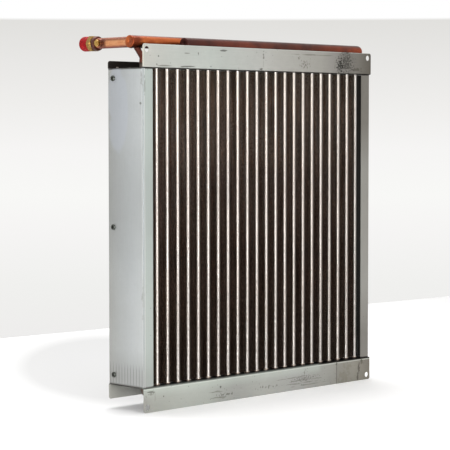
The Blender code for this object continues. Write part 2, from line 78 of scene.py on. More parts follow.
# %% Sizes of the casing and the tube field
SHEET = 0.0012
FOLD_RADIUS = 0.0024
SEAT = 0.0003
CASING_DEPTH = 0.0914
LEFT_FACE, RIGHT_FACE = -0.29785, 0.29785
SHEET_LEFT, SHEET_RIGHT = -0.29815, 0.30145
BASE, TOP = 0.02175, 0.57275
LOWER_WEB_TOP, UPPER_WEB_UNDER = 0.02145, 0.57305
UPPER_WEB_TOP = UPPER_WEB_UNDER + SHEET
TOP_FLANGE_EDGE, BOTTOM_FLANGE_EDGE = 0.61445, -0.02205
TOP_REAR_EDGE, BOTTOM_REAR_EDGE = 0.58705, -0.00615

TUBE_RADIUS = 0.00476
TUBE_PITCH = 0.025
TUBES_PER_ROW = 22
PASSES = 4
FRONT_ROW_Y, REAR_ROW_Y = 0.012325, 0.033975
FRONT_ROW_X = -0.25625 + TUBE_PITCH * np.arange(TUBES_PER_ROW)
REAR_ROW_X = -0.26875 + TUBE_PITCH * np.arange(TUBES_PER_ROW)
FRONT_SPOTS = [np.array([x, FRONT_ROW_Y, 0.0]) for x in FRONT_ROW_X]
REAR_SPOTS = [np.array([x, REAR_ROW_Y, 0.0]) for x in REAR_ROW_X]
TUBE_SPOTS = FRONT_SPOTS + REAR_SPOTS
TUBE_END = UPPER_WEB_TOP + 0.009
HAIRPIN_BEND_Z = 0.01475

RIGHT = np.array([1.0, 0.0, 0.0])
REAR = np.array([0.0, 1.0, 0.0])
UP = np.array([0.0, 0.0, 1.0])

# %% [markdown]
# ## From arrays to meshes
#
# A shape here is a grid of points, so its faces follow from counting: each point is joined to
# its neighbours along the two directions of the grid. A closed direction joins its last line of
# points to its first. The signed volume tells whether the faces point outwards, by adding up
# the tetrahedra between each face and the origin; where it is negative, every face is turned.

# %% Grid faces, closed shapes and mesh objects
def grid_faces(rows, columns, close_rows=False, close_columns=False):
    """Four-sided faces between neighbouring rows and columns of a grid of points."""
    row = np.arange(rows if close_rows else rows - 1)[:, None]
    column = np.arange(columns if close_columns else columns - 1)[None, :]
    next_row, next_column = (row + 1) % rows, (column + 1) % columns
    corners = [row * columns + column, row * columns + next_column,
               next_row * columns + next_column, next_row * columns + column]
    return np.stack(corners, axis=-1).reshape(-1, 4)


def strip_faces(count):
    """Faces of a strip of sheet: a closed line of 2 * count points, there and back, each with
    its two ends. The strip's end faces are quads between the line's two halves."""
    step = np.arange(count - 1)
    across = 2 * count - 1 - step
    end_face = np.stack([step, step + 1, across - 1, across], axis=-1)
    sides = grid_faces(2 * count, 2, close_rows=True)
    return np.concatenate([sides, 2 * end_face, 2 * end_face[:, ::-1] + 1])


def signed_volume(points, faces):
    """A sixth of the sum of a . (b x c) over the faces, each cut into triangles a, b, c."""
    total = 0.0
    for group in faces:
        for k in range(1, group.shape[1] - 1):
            a, b, c = points[group[:, 0]], points[group[:, k]], points[group[:, k + 1]]
            total += np.einsum("ij,ij->", a, np.cross(b, c)) / 6
    return total


def outward(points, faces):
    """The shape with all of its faces turned round if its volume comes out negative."""
    if signed_volume(points, faces) < 0:
        faces = [group[:, ::-1] for group in faces]
    return points, faces


def closed_rings(rings, first_pole, last_pole):
    """A closed skin over a stack of rings, with a fan of triangles to a pole at both ends."""
    count, sides = rings.shape[:2]
    points = np.concatenate([rings.reshape(-1, 3), [first_pole, last_pole]])
    around = np.arange(sides)
    beside = (around + 1) % sides
    last = (count - 1) * sides
    first_fan = np.stack([np.full(sides, count * sides), beside, around], axis=-1)
    last_fan = np.stack([np.full(sides, count * sides + 1), last + around, last + beside], axis=-1)
    return outward(points, [grid_faces(count, sides, close_columns=True), first_fan, last_fan])


def together(shapes):
    """Several closed shapes as one, by shifting the point numbers of each one's faces."""
    starts = np.cumsum([0] + [len(points) for points, _ in shapes[:-1]])
    points = np.concatenate([points for points, _ in shapes])
    return points, [group + start for start, (_, faces) in zip(starts, shapes) for group in faces]


def new_mesh(name, points, faces):
    """Points and faces put into a mesh as whole arrays with foreach_set."""
    sizes = np.concatenate([np.full(len(group), group.shape[1]) for group in faces])
    corners = np.concatenate([group.ravel() for group in faces]).astype(np.int32)
    starts = np.concatenate([[0], np.cumsum(sizes)[:-1]]).astype(np.int32)
    mesh = bpy.data.meshes.new(name)
    mesh.vertices.add(len(points))
    mesh.vertices.foreach_set("co", np.ascontiguousarray(points, np.float32).ravel())
    mesh.loops.add(len(corners))
    mesh.polygons.add(len(starts))
    mesh.polygons.foreach_set("loop_start", starts)
    mesh.polygons.foreach_set("vertices", corners)
    mesh.update(calc_edges=True)
    return mesh


def add_piece(name, shape, finish, nodes, sharp_degrees=40):
    """A mesh object that stands for CAD nodes and rides on the root; it hides those nodes."""
    mesh = new_mesh(name, *shape)
    mesh.materials.append(finish.material)
    mesh.shade_smooth()
    mesh.set_sharp_from_angle(angle=np.radians(sharp_degrees))
    piece = bpy.data.objects.new(name, mesh)
    bpy.context.scene.collection.objects.link(piece)
    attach(piece, "root")
    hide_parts(*nodes)
    return piece

# %% [markdown]
# ## Three ways to carry a profile
#
# Almost everything on the coil is round, so two surfaces do most of the work. A turned piece
# spins a profile of radius against height about an axis, as a lathe does. A swept tube carries a
# circle along a path that stays in one plane. The casing is folded sheet: its section is a line
# with arcs at the folds, and a second line one sheet thickness away closes it.

# %% Turned pieces, swept tubes and paths with rounded corners
def turned(profile, foot, axis, sides=32):
    """foot + height * axis + radius * (cos(angle) * side + sin(angle) * up), for each profile
    point (radius, height) and each angle; the first and last points lie on the axis."""
    profile = np.asarray(profile, float)
    side = UP if abs(axis @ UP) < 0.5 else RIGHT
    up = np.cross(axis, side)
    angle = np.linspace(0, 2 * np.pi, sides, endpoint=False)[:, None]
    ring = np.cos(angle) * side + np.sin(angle) * up
    radius, height = profile[1:-1, 0], profile[1:-1, 1]
    rings = foot + height[:, None, None] * axis + radius[:, None, None] * ring
    return closed_rings(rings, foot + profile[0, 1] * axis, foot + profile[-1, 1] * axis)


def swept(path, radius, normal, sides=20):
    """path + radius * (cos(angle) * normal + sin(angle) * (tangent x normal)), where the path
    stays in the plane across normal and radius may change along it."""
    path = np.asarray(path, float)
    tangent = np.gradient(path, axis=0)
    tangent /= np.linalg.norm(tangent, axis=1, keepdims=True)
    up = np.cross(tangent, normal)
    angle = np.linspace(0, 2 * np.pi, sides, endpoint=False)[None, :, None]
    ring = np.cos(angle) * normal + np.sin(angle) * up[:, None, :]
    rings = path[:, None, :] + np.broadcast_to(radius, len(path))[:, None, None] * ring
    return closed_rings(rings, path[0], path[-1])


def unit(vector):
    return vector / np.linalg.norm(vector)


def rounded_path(corners, radius, steps=8):
    """A path whose inner corners are arcs that touch both of their straight runs."""
    corners = np.asarray(corners, float)
    runs = [corners[:1]]
    for before, corner, after in zip(corners, corners[1:], corners[2:]):
        back, ahead = unit(before - corner), unit(after - corner)
        half = np.arccos(np.clip(back @ ahead, -1, 1)) / 2
        centre = corner + unit(back + ahead) * radius / np.sin(half)
        start = unit(corner + back * radius / np.tan(half) - centre)
        end = unit(corner + ahead * radius / np.tan(half) - centre)
        turn = np.arccos(np.clip(start @ end, -1, 1))
        share = np.linspace(0, 1, steps + 1)[:, None]
        arc = (np.sin((1 - share) * turn) * start + np.sin(share * turn) * end) / np.sin(turn)
        runs.append(centre + radius * arc)
    return np.concatenate(runs + [corners[-1:]])


def bend_path(from_spot, to_spot, leg_end, bend_z, direction, steps=18):
    """Up one leg, half a circle in the plane of the two legs, and down the other."""
    middle, across = (from_spot + to_spot) / 2, (from_spot - to_spot) / 2
    angle = np.linspace(0, np.pi, steps + 1)[:, None]
    rise = direction * np.linalg.norm(across) * np.sin(angle) * UP
    arc = middle + bend_z * UP + np.cos(angle) * across + rise
    return np.concatenate([[from_spot + leg_end * UP], arc, [to_spot + leg_end * UP]])

# %% [markdown]
# ## Nodes and colours
#
# A finish starts from the real material: what it is, how its surface was made, and what that
# gives the eye. Colours are written as sRGB hex values, as one would pick them from a picture,
# and turned to the linear values that the renderer adds up. One class adds nodes to a tree and
# fills or links their inputs. A second one is a material whose colour is painted in layers.

# %% Colour and node helpers
def linear(hex_colour):
    """sRGB hex to linear: c / 12.92 below 0.04045, ((c + 0.055) / 1.055) ** 2.4 above."""
    srgb = np.array([int(hex_colour[k:k + 2], 16) for k in (1, 3, 5)]) / 255
    value = np.where(srgb <= 0.04045, srgb / 12.92, ((srgb + 0.055) / 1.055) ** 2.4)
    return (*value.tolist(), 1.0)


class Nodes:
    """Adds nodes to one tree; place is the point that is being shaded, in metres."""

    def __init__(self, tree, coordinate="Object"):
        self.tree = tree
        self.place = self.add("ShaderNodeTexCoord").outputs[coordinate]

    def fill(self, node, inputs):
        """Sets a node's inputs, or links them where the value is another node's output."""
        for name, value in inputs.items():
            if isinstance(value, bpy.types.NodeSocket):
                self.tree.links.new(value, node.inputs[name])
            else:
                node.inputs[name].default_value = value

    def add(self, kind, inputs=None, **settings):
        """Adds a node, sets its properties and fills its inputs."""
        node = self.tree.nodes.new(kind)
        for name, value in settings.items():
            setattr(node, name, value)
        self.fill(node, inputs or {})
        return node

    def ramp(self, factor, *stops):
        """A colour ramp through (position, hex colour) stops."""
        node = self.add("ShaderNodeValToRGB", {"Fac": factor})
        elements = node.color_ramp.elements
        for element, (position, colour) in zip((elements[0], elements[-1]), (stops[0], stops[-1])):
            element.position = position
            element.color = linear(colour)
        for position, colour in stops[1:-1]:
            elements.new(position).color = linear(colour)
        return node.outputs["Color"]

    def noise(self, grain_mm, detail=3.0, stretch=(1, 1, 1)):
        """Noise whose grain is so many millimetres, longer along the axes with a stretch."""
        scale = [1 / s for s in stretch]
        mapped = self.add("ShaderNodeMapping", {"Vector": self.place, "Scale": scale})
        inputs = {"Vector": mapped.outputs[0], "Scale": 1000 / grain_mm, "Detail": detail}
        return self.add("ShaderNodeTexNoise", inputs).outputs[0]

    def cells(self, size_mm):
        """The outputs of a Voronoi pattern whose cells are so many millimetres."""
        inputs = {"Vector": self.place, "Scale": 1000 / size_mm}
        return self.add("ShaderNodeTexVoronoi", inputs).outputs

    def spread(self, value, low, high, to_low=0.0, to_high=1.0):
        """Takes a value from the range low to high to the range to_low to to_high, and clamps it."""
        inputs = {"Value": value, "From Min": low, "From Max": high,
                  "To Min": to_low, "To Max": to_high}
        return self.add("ShaderNodeMapRange", inputs).outputs[0]

    def maths(self, operation, first, second=0.0):
        return self.add("ShaderNodeMath", {0: first, 1: second}, operation=operation).outputs[0]

    def times(self, first, second):
        return self.maths("MULTIPLY", first, second)

    def vectors(self, operation, first, second=(0, 0, 0)):
        return self.add("ShaderNodeVectorMath", {0: first, 1: second}, operation=operation).outputs

    def mix(self, factor, first, second, blend_type="MIX"):
        inputs = {0: factor, 6: first, 7: second}
        return self.add("ShaderNodeMix", inputs, data_type="RGBA", blend_type=blend_type).outputs[2]

    def part(self, axis, vector=None):
        """One axis of the place, or of another vector."""
        vector = self.place if vector is None else vector
        return self.add("ShaderNodeSeparateXYZ", {"Vector": vector}).outputs[axis]

    def patch(self, centre, size, place=None):
        """1 at the centre, falling to 0 on an ellipsoid whose half axes are size, in metres."""
        moved = self.vectors("SUBTRACT", self.place if place is None else place, centre)[0]
        scaled = self.vectors("DIVIDE", moved, size)[0]
        return self.spread(self.vectors("LENGTH", scaled)["Value"], 0.0, 1.0, 1.0, 0.0)

    def graded(self, axis, tones):
        """A colour that changes along one axis, through (metres, hex colour) stops."""
        low, high = tones[0][0], tones[-1][0]
        stops = [((spot - low) / (high - low), colour) for spot, colour in tones]
        return self.ramp(self.spread(self.part(axis), low, high), *stops)

    def within(self, axis, low, high, soft):
        """1 between low and high on an axis, falling to 0 over a soft border outside."""
        value = self.part(axis)
        fall = self.spread(value, high, high + soft, 1.0, 0.0)
        return self.times(self.spread(value, low - soft, low), fall)

    def off_lines(self, axis, first, step):
        """How far the place is from the nearest of evenly spaced lines, in steps: 0 to 0.5."""
        count = self.maths("DIVIDE", self.maths("SUBTRACT", self.part(axis), first), step)
        return self.maths("PINGPONG", count, 0.5)

    def facing(self, direction):
        """The cosine between the surface's own direction and a fixed direction on the object."""
        normal = self.add("ShaderNodeTexCoord").outputs["Normal"]
        fixed = tuple(unit(np.asarray(direction, float)))
        return self.vectors("DOT_PRODUCT", normal, fixed)["Value"]

    def sees_background(self):
        """1 for rays that show the background: the camera's own, mirrored and refracted ones."""
        path = self.add("ShaderNodeLightPath").outputs
        mirrored = self.maths("MAXIMUM", path["Is Camera Ray"], path["Is Glossy Ray"])
        return self.maths("MAXIMUM", mirrored, path["Is Transmission Ray"])


class Finish(Nodes):
    """A material that is painted in layers: tone is its colour so far."""

    def __init__(self, name, metallic, roughness):
        self.material = bpy.data.materials.new(name)
        self.material.use_nodes = True
        super().__init__(self.material.node_tree)
        self.shader = self.tree.nodes["Principled BSDF"]
        self.set(Metallic=metallic, Roughness=roughness)

    def set(self, **inputs):
        """Fills inputs of the shader, with a space for each underscore in their names."""
        self.fill(self.shader, {name.replace("_", " "): value for name, value in inputs.items()})

    def paint(self, tone):
        self.tone = tone
        self.set(Base_Color=tone)

    def cover(self, share, colour):
        """Lays a colour over the tone: all of it where share is 1, none where it is 0."""
        self.paint(self.mix(share, self.tone, linear(colour) if isinstance(colour, str) else colour))

    def shade(self, factor):
        """Multiplies the tone by a factor or a colour."""
        self.paint(self.mix(1.0, self.tone, factor, "MULTIPLY"))

    def relief(self, height, depth_mm):
        """Turns the surface's direction by a height, as deep as the real relief."""
        inputs = {"Height": height, "Distance": depth_mm / 1000}
        self.set(Normal=self.add("ShaderNodeBump", inputs).outputs[0])

# %% [markdown]
# ## Galvanised steel
#
# The casing is hot-dip galvanised sheet. Its zinc coat is a light grey metal with a satin sheen,
# faint cloudy patches a few centimetres across, and a fine grain along the rolling direction.
# Its tone goes from a light grey-green at the left end to a darker grey-brown at the right end:
# partly stain, partly painted shade where the light falls off. The flanges have been handled: a
# large dark smudge, short scratches, dots and ragged vertical stains. Each mark is a soft patch
# at its own place, broken up by noise, so that it has the ragged edge of real dirt. Where two
# sheets meet, the joint is painted almost black, as painted shade, and so are the folds beside
# them, the upper face of the upper web, and the inner faces of the upper rear flange and of the
# right panel. Thin light lines of painted highlight run along folds and edges, two small painted
# glints sit on the upper rear flange, and the inner face of the lower rear flange is painted near
# white as painted light. The lips are painted the tones they take in the light, the right one
# darker towards its top and bottom. The side panels are painted darker towards the rear, and the
# left one also at mid height and towards the bottom, as painted shade; a bluish patch high on the
# left panel is a painted reflection. Thin strokes stand on the side panel's lower edge.

# %% Galvanised steel
SPANGLE_MM = 7.0
CLOUD_MM = 60.0
ROLLING_GRAIN_MM = 1.2   # finer on the real sheet; drawn as coarse as the render can show
SPECK_CELL_MM, SPECK_MM = 6.0, 1.1
MARK_LIFT = 0.35         # how much nearness to its centre adds to a mark's noise
FLANGE_REACH = 0.02      # how far a flange's marks reach in depth: well through the sheet
METALLIC = 0.45
# painted shade: the near-black of the gaps where two sheets meet and of the folds beside them
JOINT_SHADE = "#1E1916"


def paint_marks(steel, marks):
    """Speckles that thicken towards each mark's centre: covered where noise + lift * nearness
    is above a threshold. A lower threshold fills more of the patch."""
    for centre, size, grain_mm, stretch, threshold, strength, colour in marks:
        ragged = steel.noise(grain_mm, stretch=stretch)
        near = steel.times(steel.patch(centre, size), MARK_LIFT)
        where = steel.maths("ADD", ragged, near)
        covered = steel.spread(where, threshold, threshold + 0.05, 0.0, strength)
        steel.cover(steel.times(covered, steel.spread(near, 0.01, 0.06)), colour)


def paint_zones(steel, zones):
    """Bands of a colour with soft borders; a zone is its limits on X, Y and Z in millimetres."""
    for limits, soft_mm, strength, colour in zones:
        share = strength
        for axis, span in zip("XYZ", limits):
            if span:
                low, high = span
                inside = steel.within(axis, low / 1000, high / 1000, soft_mm / 1000)
                share = steel.times(inside, share)
        steel.cover(share, colour)


def galvanised(name, axis, tones, stretch, zones, marks, speck_share):
    """Zinc-coated sheet whose tone changes along an axis; stretch is that of its grain. Zones
    of near-black painted shade turn fully metallic, so that they give back no stray light."""
    steel = Finish(name, METALLIC, 0.45)
    cloud = steel.noise(CLOUD_MM, 2.0)
    grain = steel.noise(ROLLING_GRAIN_MM, stretch=stretch)
    crystal = steel.part(0, steel.cells(SPANGLE_MM)["Color"])
    steel.paint(steel.graded(axis, tones))
    steel.shade(steel.spread(cloud, 0.3, 0.7, 0.97, 1.03))
    steel.shade(steel.spread(crystal, 0, 1, 0.985, 1.015))
    steel.shade(steel.spread(grain, 0.3, 0.7, 0.97, 1.03))
    paint_zones(steel, zones)
    paint_marks(steel, marks)
    specks, edge = steel.cells(SPECK_CELL_MM), SPECK_MM / SPECK_CELL_MM
    near = steel.spread(specks["Distance"], 0.5 * edge, edge, 1.0, 0.0)
    chosen = steel.maths("LESS_THAN", steel.part(0, specks["Color"]), speck_share)
    steel.cover(steel.times(steel.times(near, chosen), 0.7), "#55544E")
    grey = steel.add("ShaderNodeRGBToBW", {"Color": steel.tone}).outputs[0]
    steel.set(Metallic=steel.spread(grey, 0.01, 0.06, 1.0, METALLIC),
              Roughness=steel.spread(cloud, 0.3, 0.7, 0.42, 0.50))
    steel.relief(grain, 0.02)
    return steel


def on_flange(marks):
    """Marks on a front flange from their X, Z, half width and half height in millimetres."""
    return [((x / 1000, 0.0, z / 1000), (wide / 1000, FLANGE_REACH, high / 1000), *rest)
            for x, z, wide, high, *rest in marks]


ALONG_X = (40, 1, 1)
ALONG_Z = (1, 1, 40)
SHORT_X = (9, 1, 1)
SHORT_Z = (1, 1, 3)
TALL = (1, 1, 2)
ROUND = (1, 1, 1)
EVERYWHERE = None

# %% Tones, zones and marks of the upper tube sheet
# darker towards the right end: partly stain, partly painted shade where the light falls off
TOP_TONES = [
    (-0.298, "#BAB9B2"), (-0.235, "#B4B7B1"), (-0.137, "#B2B7B1"), (-0.020, "#B3B4AF"),
    (0.038, "#AEADA7"), (0.157, "#9E9C95"), (0.215, "#888580"), (0.272, "#706C64"),
    (0.2985, "#5E5950"), (0.301, "#433C32"),
]
TOP_ZONES = [
    # painted shade, near black, along the lower half of the front fold, which faces down
    ((EVERYWHERE, (-1, 3), (570, 574.6)), 0.4, 0.95, JOINT_SHADE),
    # painted shade on the upper face of the web
    ((EVERYWHERE, (1.6, 88), (573.8, 575.2)), 1.0, 0.75, "#3A322C"),
    # painted shade, near black, on the inner face of the rear flange
    ((EVERYWHERE, (87, 90.3), (573.8, 588)), 0.4, 0.95, "#1D1411"),
    # a painted highlight along the top edge of the front flange
    ((EVERYWHERE, (-1, 2), (613.6, 615)), 0.3, 0.45, "#DDE0DA"),
    # painted shade in the joint at the left end, where the sheet meets the panel
    (((-299, -297), (-1, 90), (570, 574.6)), 0.2, 0.92, JOINT_SHADE),
    # a painted highlight along the front flange's left end
    (((-299, -296.5), (-1, 1.4), (577, 611)), 0.4, 0.55, "#E0DCCB"),
    # two small painted glints on the inner face of the rear flange
    (((-279, -274), (86, 90.4), (575.2, 576.8)), 0.4, 0.85, "#D8CFC4"),
    (((-249.5, -243.5), (86, 90.4), (575.2, 576.8)), 0.4, 0.85, "#D8CFC4"),
]
TOP_MARKS = on_flange([
    (230, 594, 40, 34, 12.0, ROUND, 0.62, 0.35, "#69665E"),
    (228, 595, 38, 38, 3.6, ROUND, 0.70, 0.80, "#34322C"),
    (211, 588, 18, 24, 3.6, ROUND, 0.68, 0.85, "#26251F"),
    (258, 582, 34, 12, 5.0, ROUND, 0.74, 0.7, "#4A463D"),
    (-194, 600.5, 12, 2, 3.0, SHORT_X, 0.66, 0.7, "#77776F"),
    (-108, 608, 16, 2.4, 3.0, SHORT_X, 0.62, 0.8, "#4A4A44"),
    (-248, 578, 24, 2, 3.0, SHORT_X, 0.64, 0.7, "#6E6C64"),
    (-190, 577.5, 30, 2.2, 3.0, SHORT_X, 0.62, 0.8, "#4E4C45"),
    (-166, 600.5, 1.6, 3.5, 3.0, ROUND, 0.60, 0.8, "#66665F"),
    (-261.5, 594, 2, 1.8, 3.0, ROUND, 0.55, 0.8, "#4A4A44"),
    (-265.4, 580, 2.2, 1.8, 3.0, ROUND, 0.55, 0.8, "#4A4A44"),
    (-135, 579, 2, 2, 3.0, ROUND, 0.55, 0.8, "#55544D"),
    (0, 602, 3, 11, 4.0, ROUND, 0.66, 0.7, "#5F5D55"),
    (0, 590, 2, 30, 4.0, ROUND, 0.72, 0.4, "#7C7A72"),
    (-6, 577, 6, 3, 4.0, ROUND, 0.62, 0.8, "#4A463E"),
    (130, 607, 80, 1.4, 3.0, SHORT_X, 0.60, 0.6, "#6A675E"),
    (112, 588, 28, 18, 4.0, ROUND, 0.77, 0.7, "#66635A"),
    (95, 601, 6, 5, 4.0, ROUND, 0.70, 0.7, "#66635A"),
])

# %% Tones, zones and marks of the lower tube sheet
STAIN_X_MM = 203.5       # the line on the lower flange where its stain starts
# darker towards the right end: partly stain, partly painted shade where the light falls off
BOTTOM_TONES = [
    (-0.298, "#979791"), (-0.277, "#A1A29B"), (-0.200, "#ACAFA8"), (-0.150, "#AAADA6"),
    (-0.075, "#9C9D98"), (0.004, "#A9AAA4"), (0.086, "#A4A4A0"), (0.156, "#9C9C96"),
    (0.2025, "#95948D"), (0.2050, "#8B8981"), (0.255, "#8B887E"), (0.300, "#756F65"),
]
BOTTOM_ZONES = [
    # painted light: the inner face of the rear flange, in the shade of the web, is painted near white
    ((EVERYWHERE, (87, 90.3), (-7, 19)), 0.4, 0.95, "#FFFFF8"),
    # that painted light is greyer towards the left end
    (((-300, -290), (87, 90.3), (-7, 19)), 45.0, 0.65, "#96968C"),
    # painted shade, near black, on the fold and in the joint with the panels above it
    ((EVERYWHERE, (-1, 90), (19.6, 22)), 0.3, 0.96, JOINT_SHADE),
    # a painted highlight just below the fold, and a fainter, wider one below it on the left
    ((EVERYWHERE, (-1, 1.2), (17.6, 19)), 0.3, 0.55, "#D6DAD0"),
    (((-300, 150), (-1, 1.2), (14, 18)), 12.0, 0.30, "#C4D0C6"),
    (((STAIN_X_MM - 0.8, STAIN_X_MM + 0.8), (-1, 1.1), EVERYWHERE), 0.5, 0.75, "#55514A"),
]
BOTTOM_MARKS = on_flange([
    (-282, 14, 16, 3.4, 3.5, SHORT_X, 0.66, 0.8, "#5A5B53"),
    (-280, 10, 14, 5, 4.0, ROUND, 0.70, 0.6, "#7A7A73"),
    (-272, 3, 1.4, 12, 6.0, ROUND, 0.60, 0.35, "#7A7972"),
    (-251.7, 2.8, 2, 1.8, 3.0, ROUND, 0.55, 0.8, "#55544D"),
    (-111.7, 4.7, 2.6, 2.4, 3.0, ROUND, 0.52, 0.9, "#3F3E38"),
    (-120, -4, 50, 5, 3.5, SHORT_X, 0.74, 0.7, "#77776F"),
    (-120, -15, 60, 5, 3.5, SHORT_X, 0.74, 0.7, "#77776F"),
    (-100, -10, 60, 11, 4.0, ROUND, 0.80, 0.8, "#66655E"),
    (10, -8, 90, 9, 4.0, ROUND, 0.80, 0.7, "#6A6962"),
    (90, 2, 75, 2.2, 2.6, SHORT_X, 0.68, 0.5, "#6C6B63"),
    (105, -10, 85, 2.2, 2.6, SHORT_X, 0.67, 0.5, "#6C6B63"),
    (115, -5, 75, 2.2, 2.6, SHORT_X, 0.68, 0.5, "#6C6B63"),
    (120, -14.5, 70, 2.2, 2.6, SHORT_X, 0.67, 0.5, "#6C6B63"),
    (110, -2, 95, 17, 2.6, ROUND, 0.80, 0.7, "#5A5952"),
    (112, 9, 16, 8, 3.0, ROUND, 0.76, 0.6, "#6C6B63"),
    (225, -10, 30, 20, 9.0, ROUND, 0.66, 0.35, "#736C5C"),
    (277, 15, 3.5, 7, 3.5, ROUND, 0.52, 0.8, "#4A453B"),
    (269.5, 2, 4, 14, 3.5, TALL, 0.56, 0.8, "#4A453B"),
    (265.5, -14, 3, 10, 3.5, TALL, 0.54, 0.8, "#4A453B"),
    (235, 8, 34, 16, 6.0, ROUND, 0.74, 0.4, "#77705F"),
    (283, 12, 18, 12, 5.0, ROUND, 0.74, 0.45, "#6C675C"),
    (STAIN_X_MM, 16.5, 3, 3, 3.0, ROUND, 0.55, 0.8, "#4A463E"),
])

# %% Tones, zones and marks of the side panels
# painted shade: the panels get darker towards the rear
PANEL_TONES = [(0.0, "#B9BDBD"), (0.030, "#B0B4B5"), (0.060, "#A6A9A9"), (0.0914, "#9C9D9A")]
PANEL_ZONES = [
    # painted light: the left lip is painted the greenish grey it takes in the light
    (((-296.7, -270), (-1, 1.3), EVERYWHERE), 0.4, 0.85, "#A6AFA9"),
    # painted shade on the right lip, darker towards its top and bottom
    (((270, 297.5), (-1, 1.3), EVERYWHERE), 0.4, 0.90, "#918E87"),
    (((270, 298), (-1, 1.3), (480, 580)), 90.0, 0.72, "#6C675F"),
    (((270, 298), (-1, 1.3), (0, 70)), 90.0, 0.60, "#67625B"),
    # painted shade: a broad darker band at mid height on the left panel's side
    (((-299, -296.6), (3, 90), (290, 370)), 120.0, 0.35, "#878988"),
    # painted shade, near black, on the inside of the right panel
    (((270, 297), (1.6, 46), EVERYWHERE), 0.2, 0.96, "#15120F"),
    # painted shade in the joints at the panels' top and bottom ends
    ((EVERYWHERE, EVERYWHERE, (571.5, 574)), 0.3, 0.80, JOINT_SHADE),
    ((EVERYWHERE, EVERYWHERE, (20, 23.4)), 0.3, 0.90, JOINT_SHADE),
    # painted shade on the left fold, with a thin painted highlight along each of its edges
    (((-299, -295.6), (-1, 2), EVERYWHERE), 0.3, 0.85, "#858A8A"),
    (((-299, -296.6), (2.6, 3.4), EVERYWHERE), 0.2, 0.60, "#E2E4E4"),
    (((-295, -294.3), (-1, 0.6), EVERYWHERE), 0.2, 0.70, "#E6E2E2"),
    # painted shade, darker towards the bottom of the left panel's side
    (((-299, -296.6), (3, 90), (10, 40)), 45.0, 0.50, "#82827E"),
    (((-299, -296.6), (3, 90), (10, 150)), 90.0, 0.20, "#9A9A96"),
]
PANEL_MARKS = [
    # a painted reflection: the bluish patch high on the left panel; the marks after it are dirt
    ((LEFT_FACE, 0.066, 0.505), (0.01, 0.030, 0.085), 60.0, ROUND, 0.45, 0.35, "#AEB4C0"),
    ((LEFT_FACE, 0.004, 0.552), (0.01, 0.004, 0.020), 4.0, SHORT_Z, 0.68, 0.6, "#8A8C88"),
    ((-0.2945, 0.000, 0.545), (0.003, 0.004, 0.022), 4.0, SHORT_Z, 0.66, 0.7, "#858984"),
    ((LEFT_FACE, 0.007, 0.512), (0.01, 0.004, 0.003), 4.0, ROUND, 0.62, 0.8, "#6F706C"),
    ((LEFT_FACE, 0.002, 0.180), (0.01, 0.005, 0.070), 4.0, SHORT_Z, 0.74, 0.6, "#8A8C88"),
]
SCORE_STEP, SCORE_FIRST = 0.0075, 0.0120   # the strokes' places along Y

top_steel = galvanised("galvanised steel, top sheet", "X", TOP_TONES, ALONG_X, TOP_ZONES,
                       TOP_MARKS, 0.10)
bottom_steel = galvanised("galvanised steel, bottom sheet", "X", BOTTOM_TONES, ALONG_X,
                          BOTTOM_ZONES, BOTTOM_MARKS, 0.30)
panel_steel = galvanised("galvanised steel, side panels", "Y", PANEL_TONES, ALONG_Z, PANEL_ZONES,
                         PANEL_MARKS, 0.05)
stroke = panel_steel.spread(panel_steel.off_lines("Y", SCORE_FIRST, SCORE_STEP), 0.05, 0.12, 0.80, 0.0)
panel_steel.cover(panel_steel.times(stroke, panel_steel.within("Z", 0.026, 0.050, 0.012)), "#6E6F6D")
print("materials so far:", len(bpy.data.materials))

# %% [markdown]
# ## The folded casing
#
# Four pieces of folded sheet make the casing: two channels that carry the tube ends, and two
# C-shaped panels between them. A press brake leaves a small round on each fold, and a corner
# notcher rounds the free corners. The section is a path with an arc at each fold. A second path,
# one sheet thickness inside, closes it. Where a row of points is near a free edge, its ends are
# drawn in by a quarter circle, which rounds the corner of the flange.

# %% Folded sheet with rounded free corners
def offset_path(path, across, thickness):
    """The path moved sideways by a thickness, with full thickness kept round the arcs."""
    step = np.diff(path, axis=0)
    side = np.cross(step, across)
    side /= np.linalg.norm(side, axis=1, keepdims=True)
    before = np.concatenate([side[:1], side])
    after = np.concatenate([side, side[-1:]])
    mitre = before + after
    mitre /= np.einsum("ij,ij->i", mitre, before)[:, None]
    return path + mitre * thickness


CORNER_POINTS = 9
EDGE_ROUND = 0.00025


def folded_sheet(section, along, start, end, corner, inward):
    """point(s, t) = section(s) + along * (start..end), where the rows near a free edge end
    short by corner - sqrt(corner^2 - (corner - distance to the edge)^2)."""
    path = rounded_path(section, FOLD_RADIUS)
    near = corner * (1 - np.cos(np.linspace(0, np.pi / 2, CORNER_POINTS)))
    first, last = unit(path[1] - path[0]), unit(path[-2] - path[-1])
    path = np.concatenate([path[0] + near[:, None] * first, path[1:-1],
                           path[-1] + near[::-1, None] * last])
    drawn_in = np.sqrt(np.maximum(corner ** 2 - (corner - near) ** 2, 0))
    short = np.zeros(len(path))
    short[:CORNER_POINTS] = corner - drawn_in
    short[-CORNER_POINTS:] = corner - drawn_in[::-1]
    inner = offset_path(path, along, inward * SHEET)
    loop = np.concatenate([path, inner[::-1]])
    loop_short = np.concatenate([short, short[::-1]])
    low_end = loop + along * (start + loop_short)[:, None]
    high_end = loop + along * (end - loop_short)[:, None]
    points = np.stack([low_end, high_end], axis=1).reshape(-1, 3)
    return outward(points, [strip_faces(len(path))])


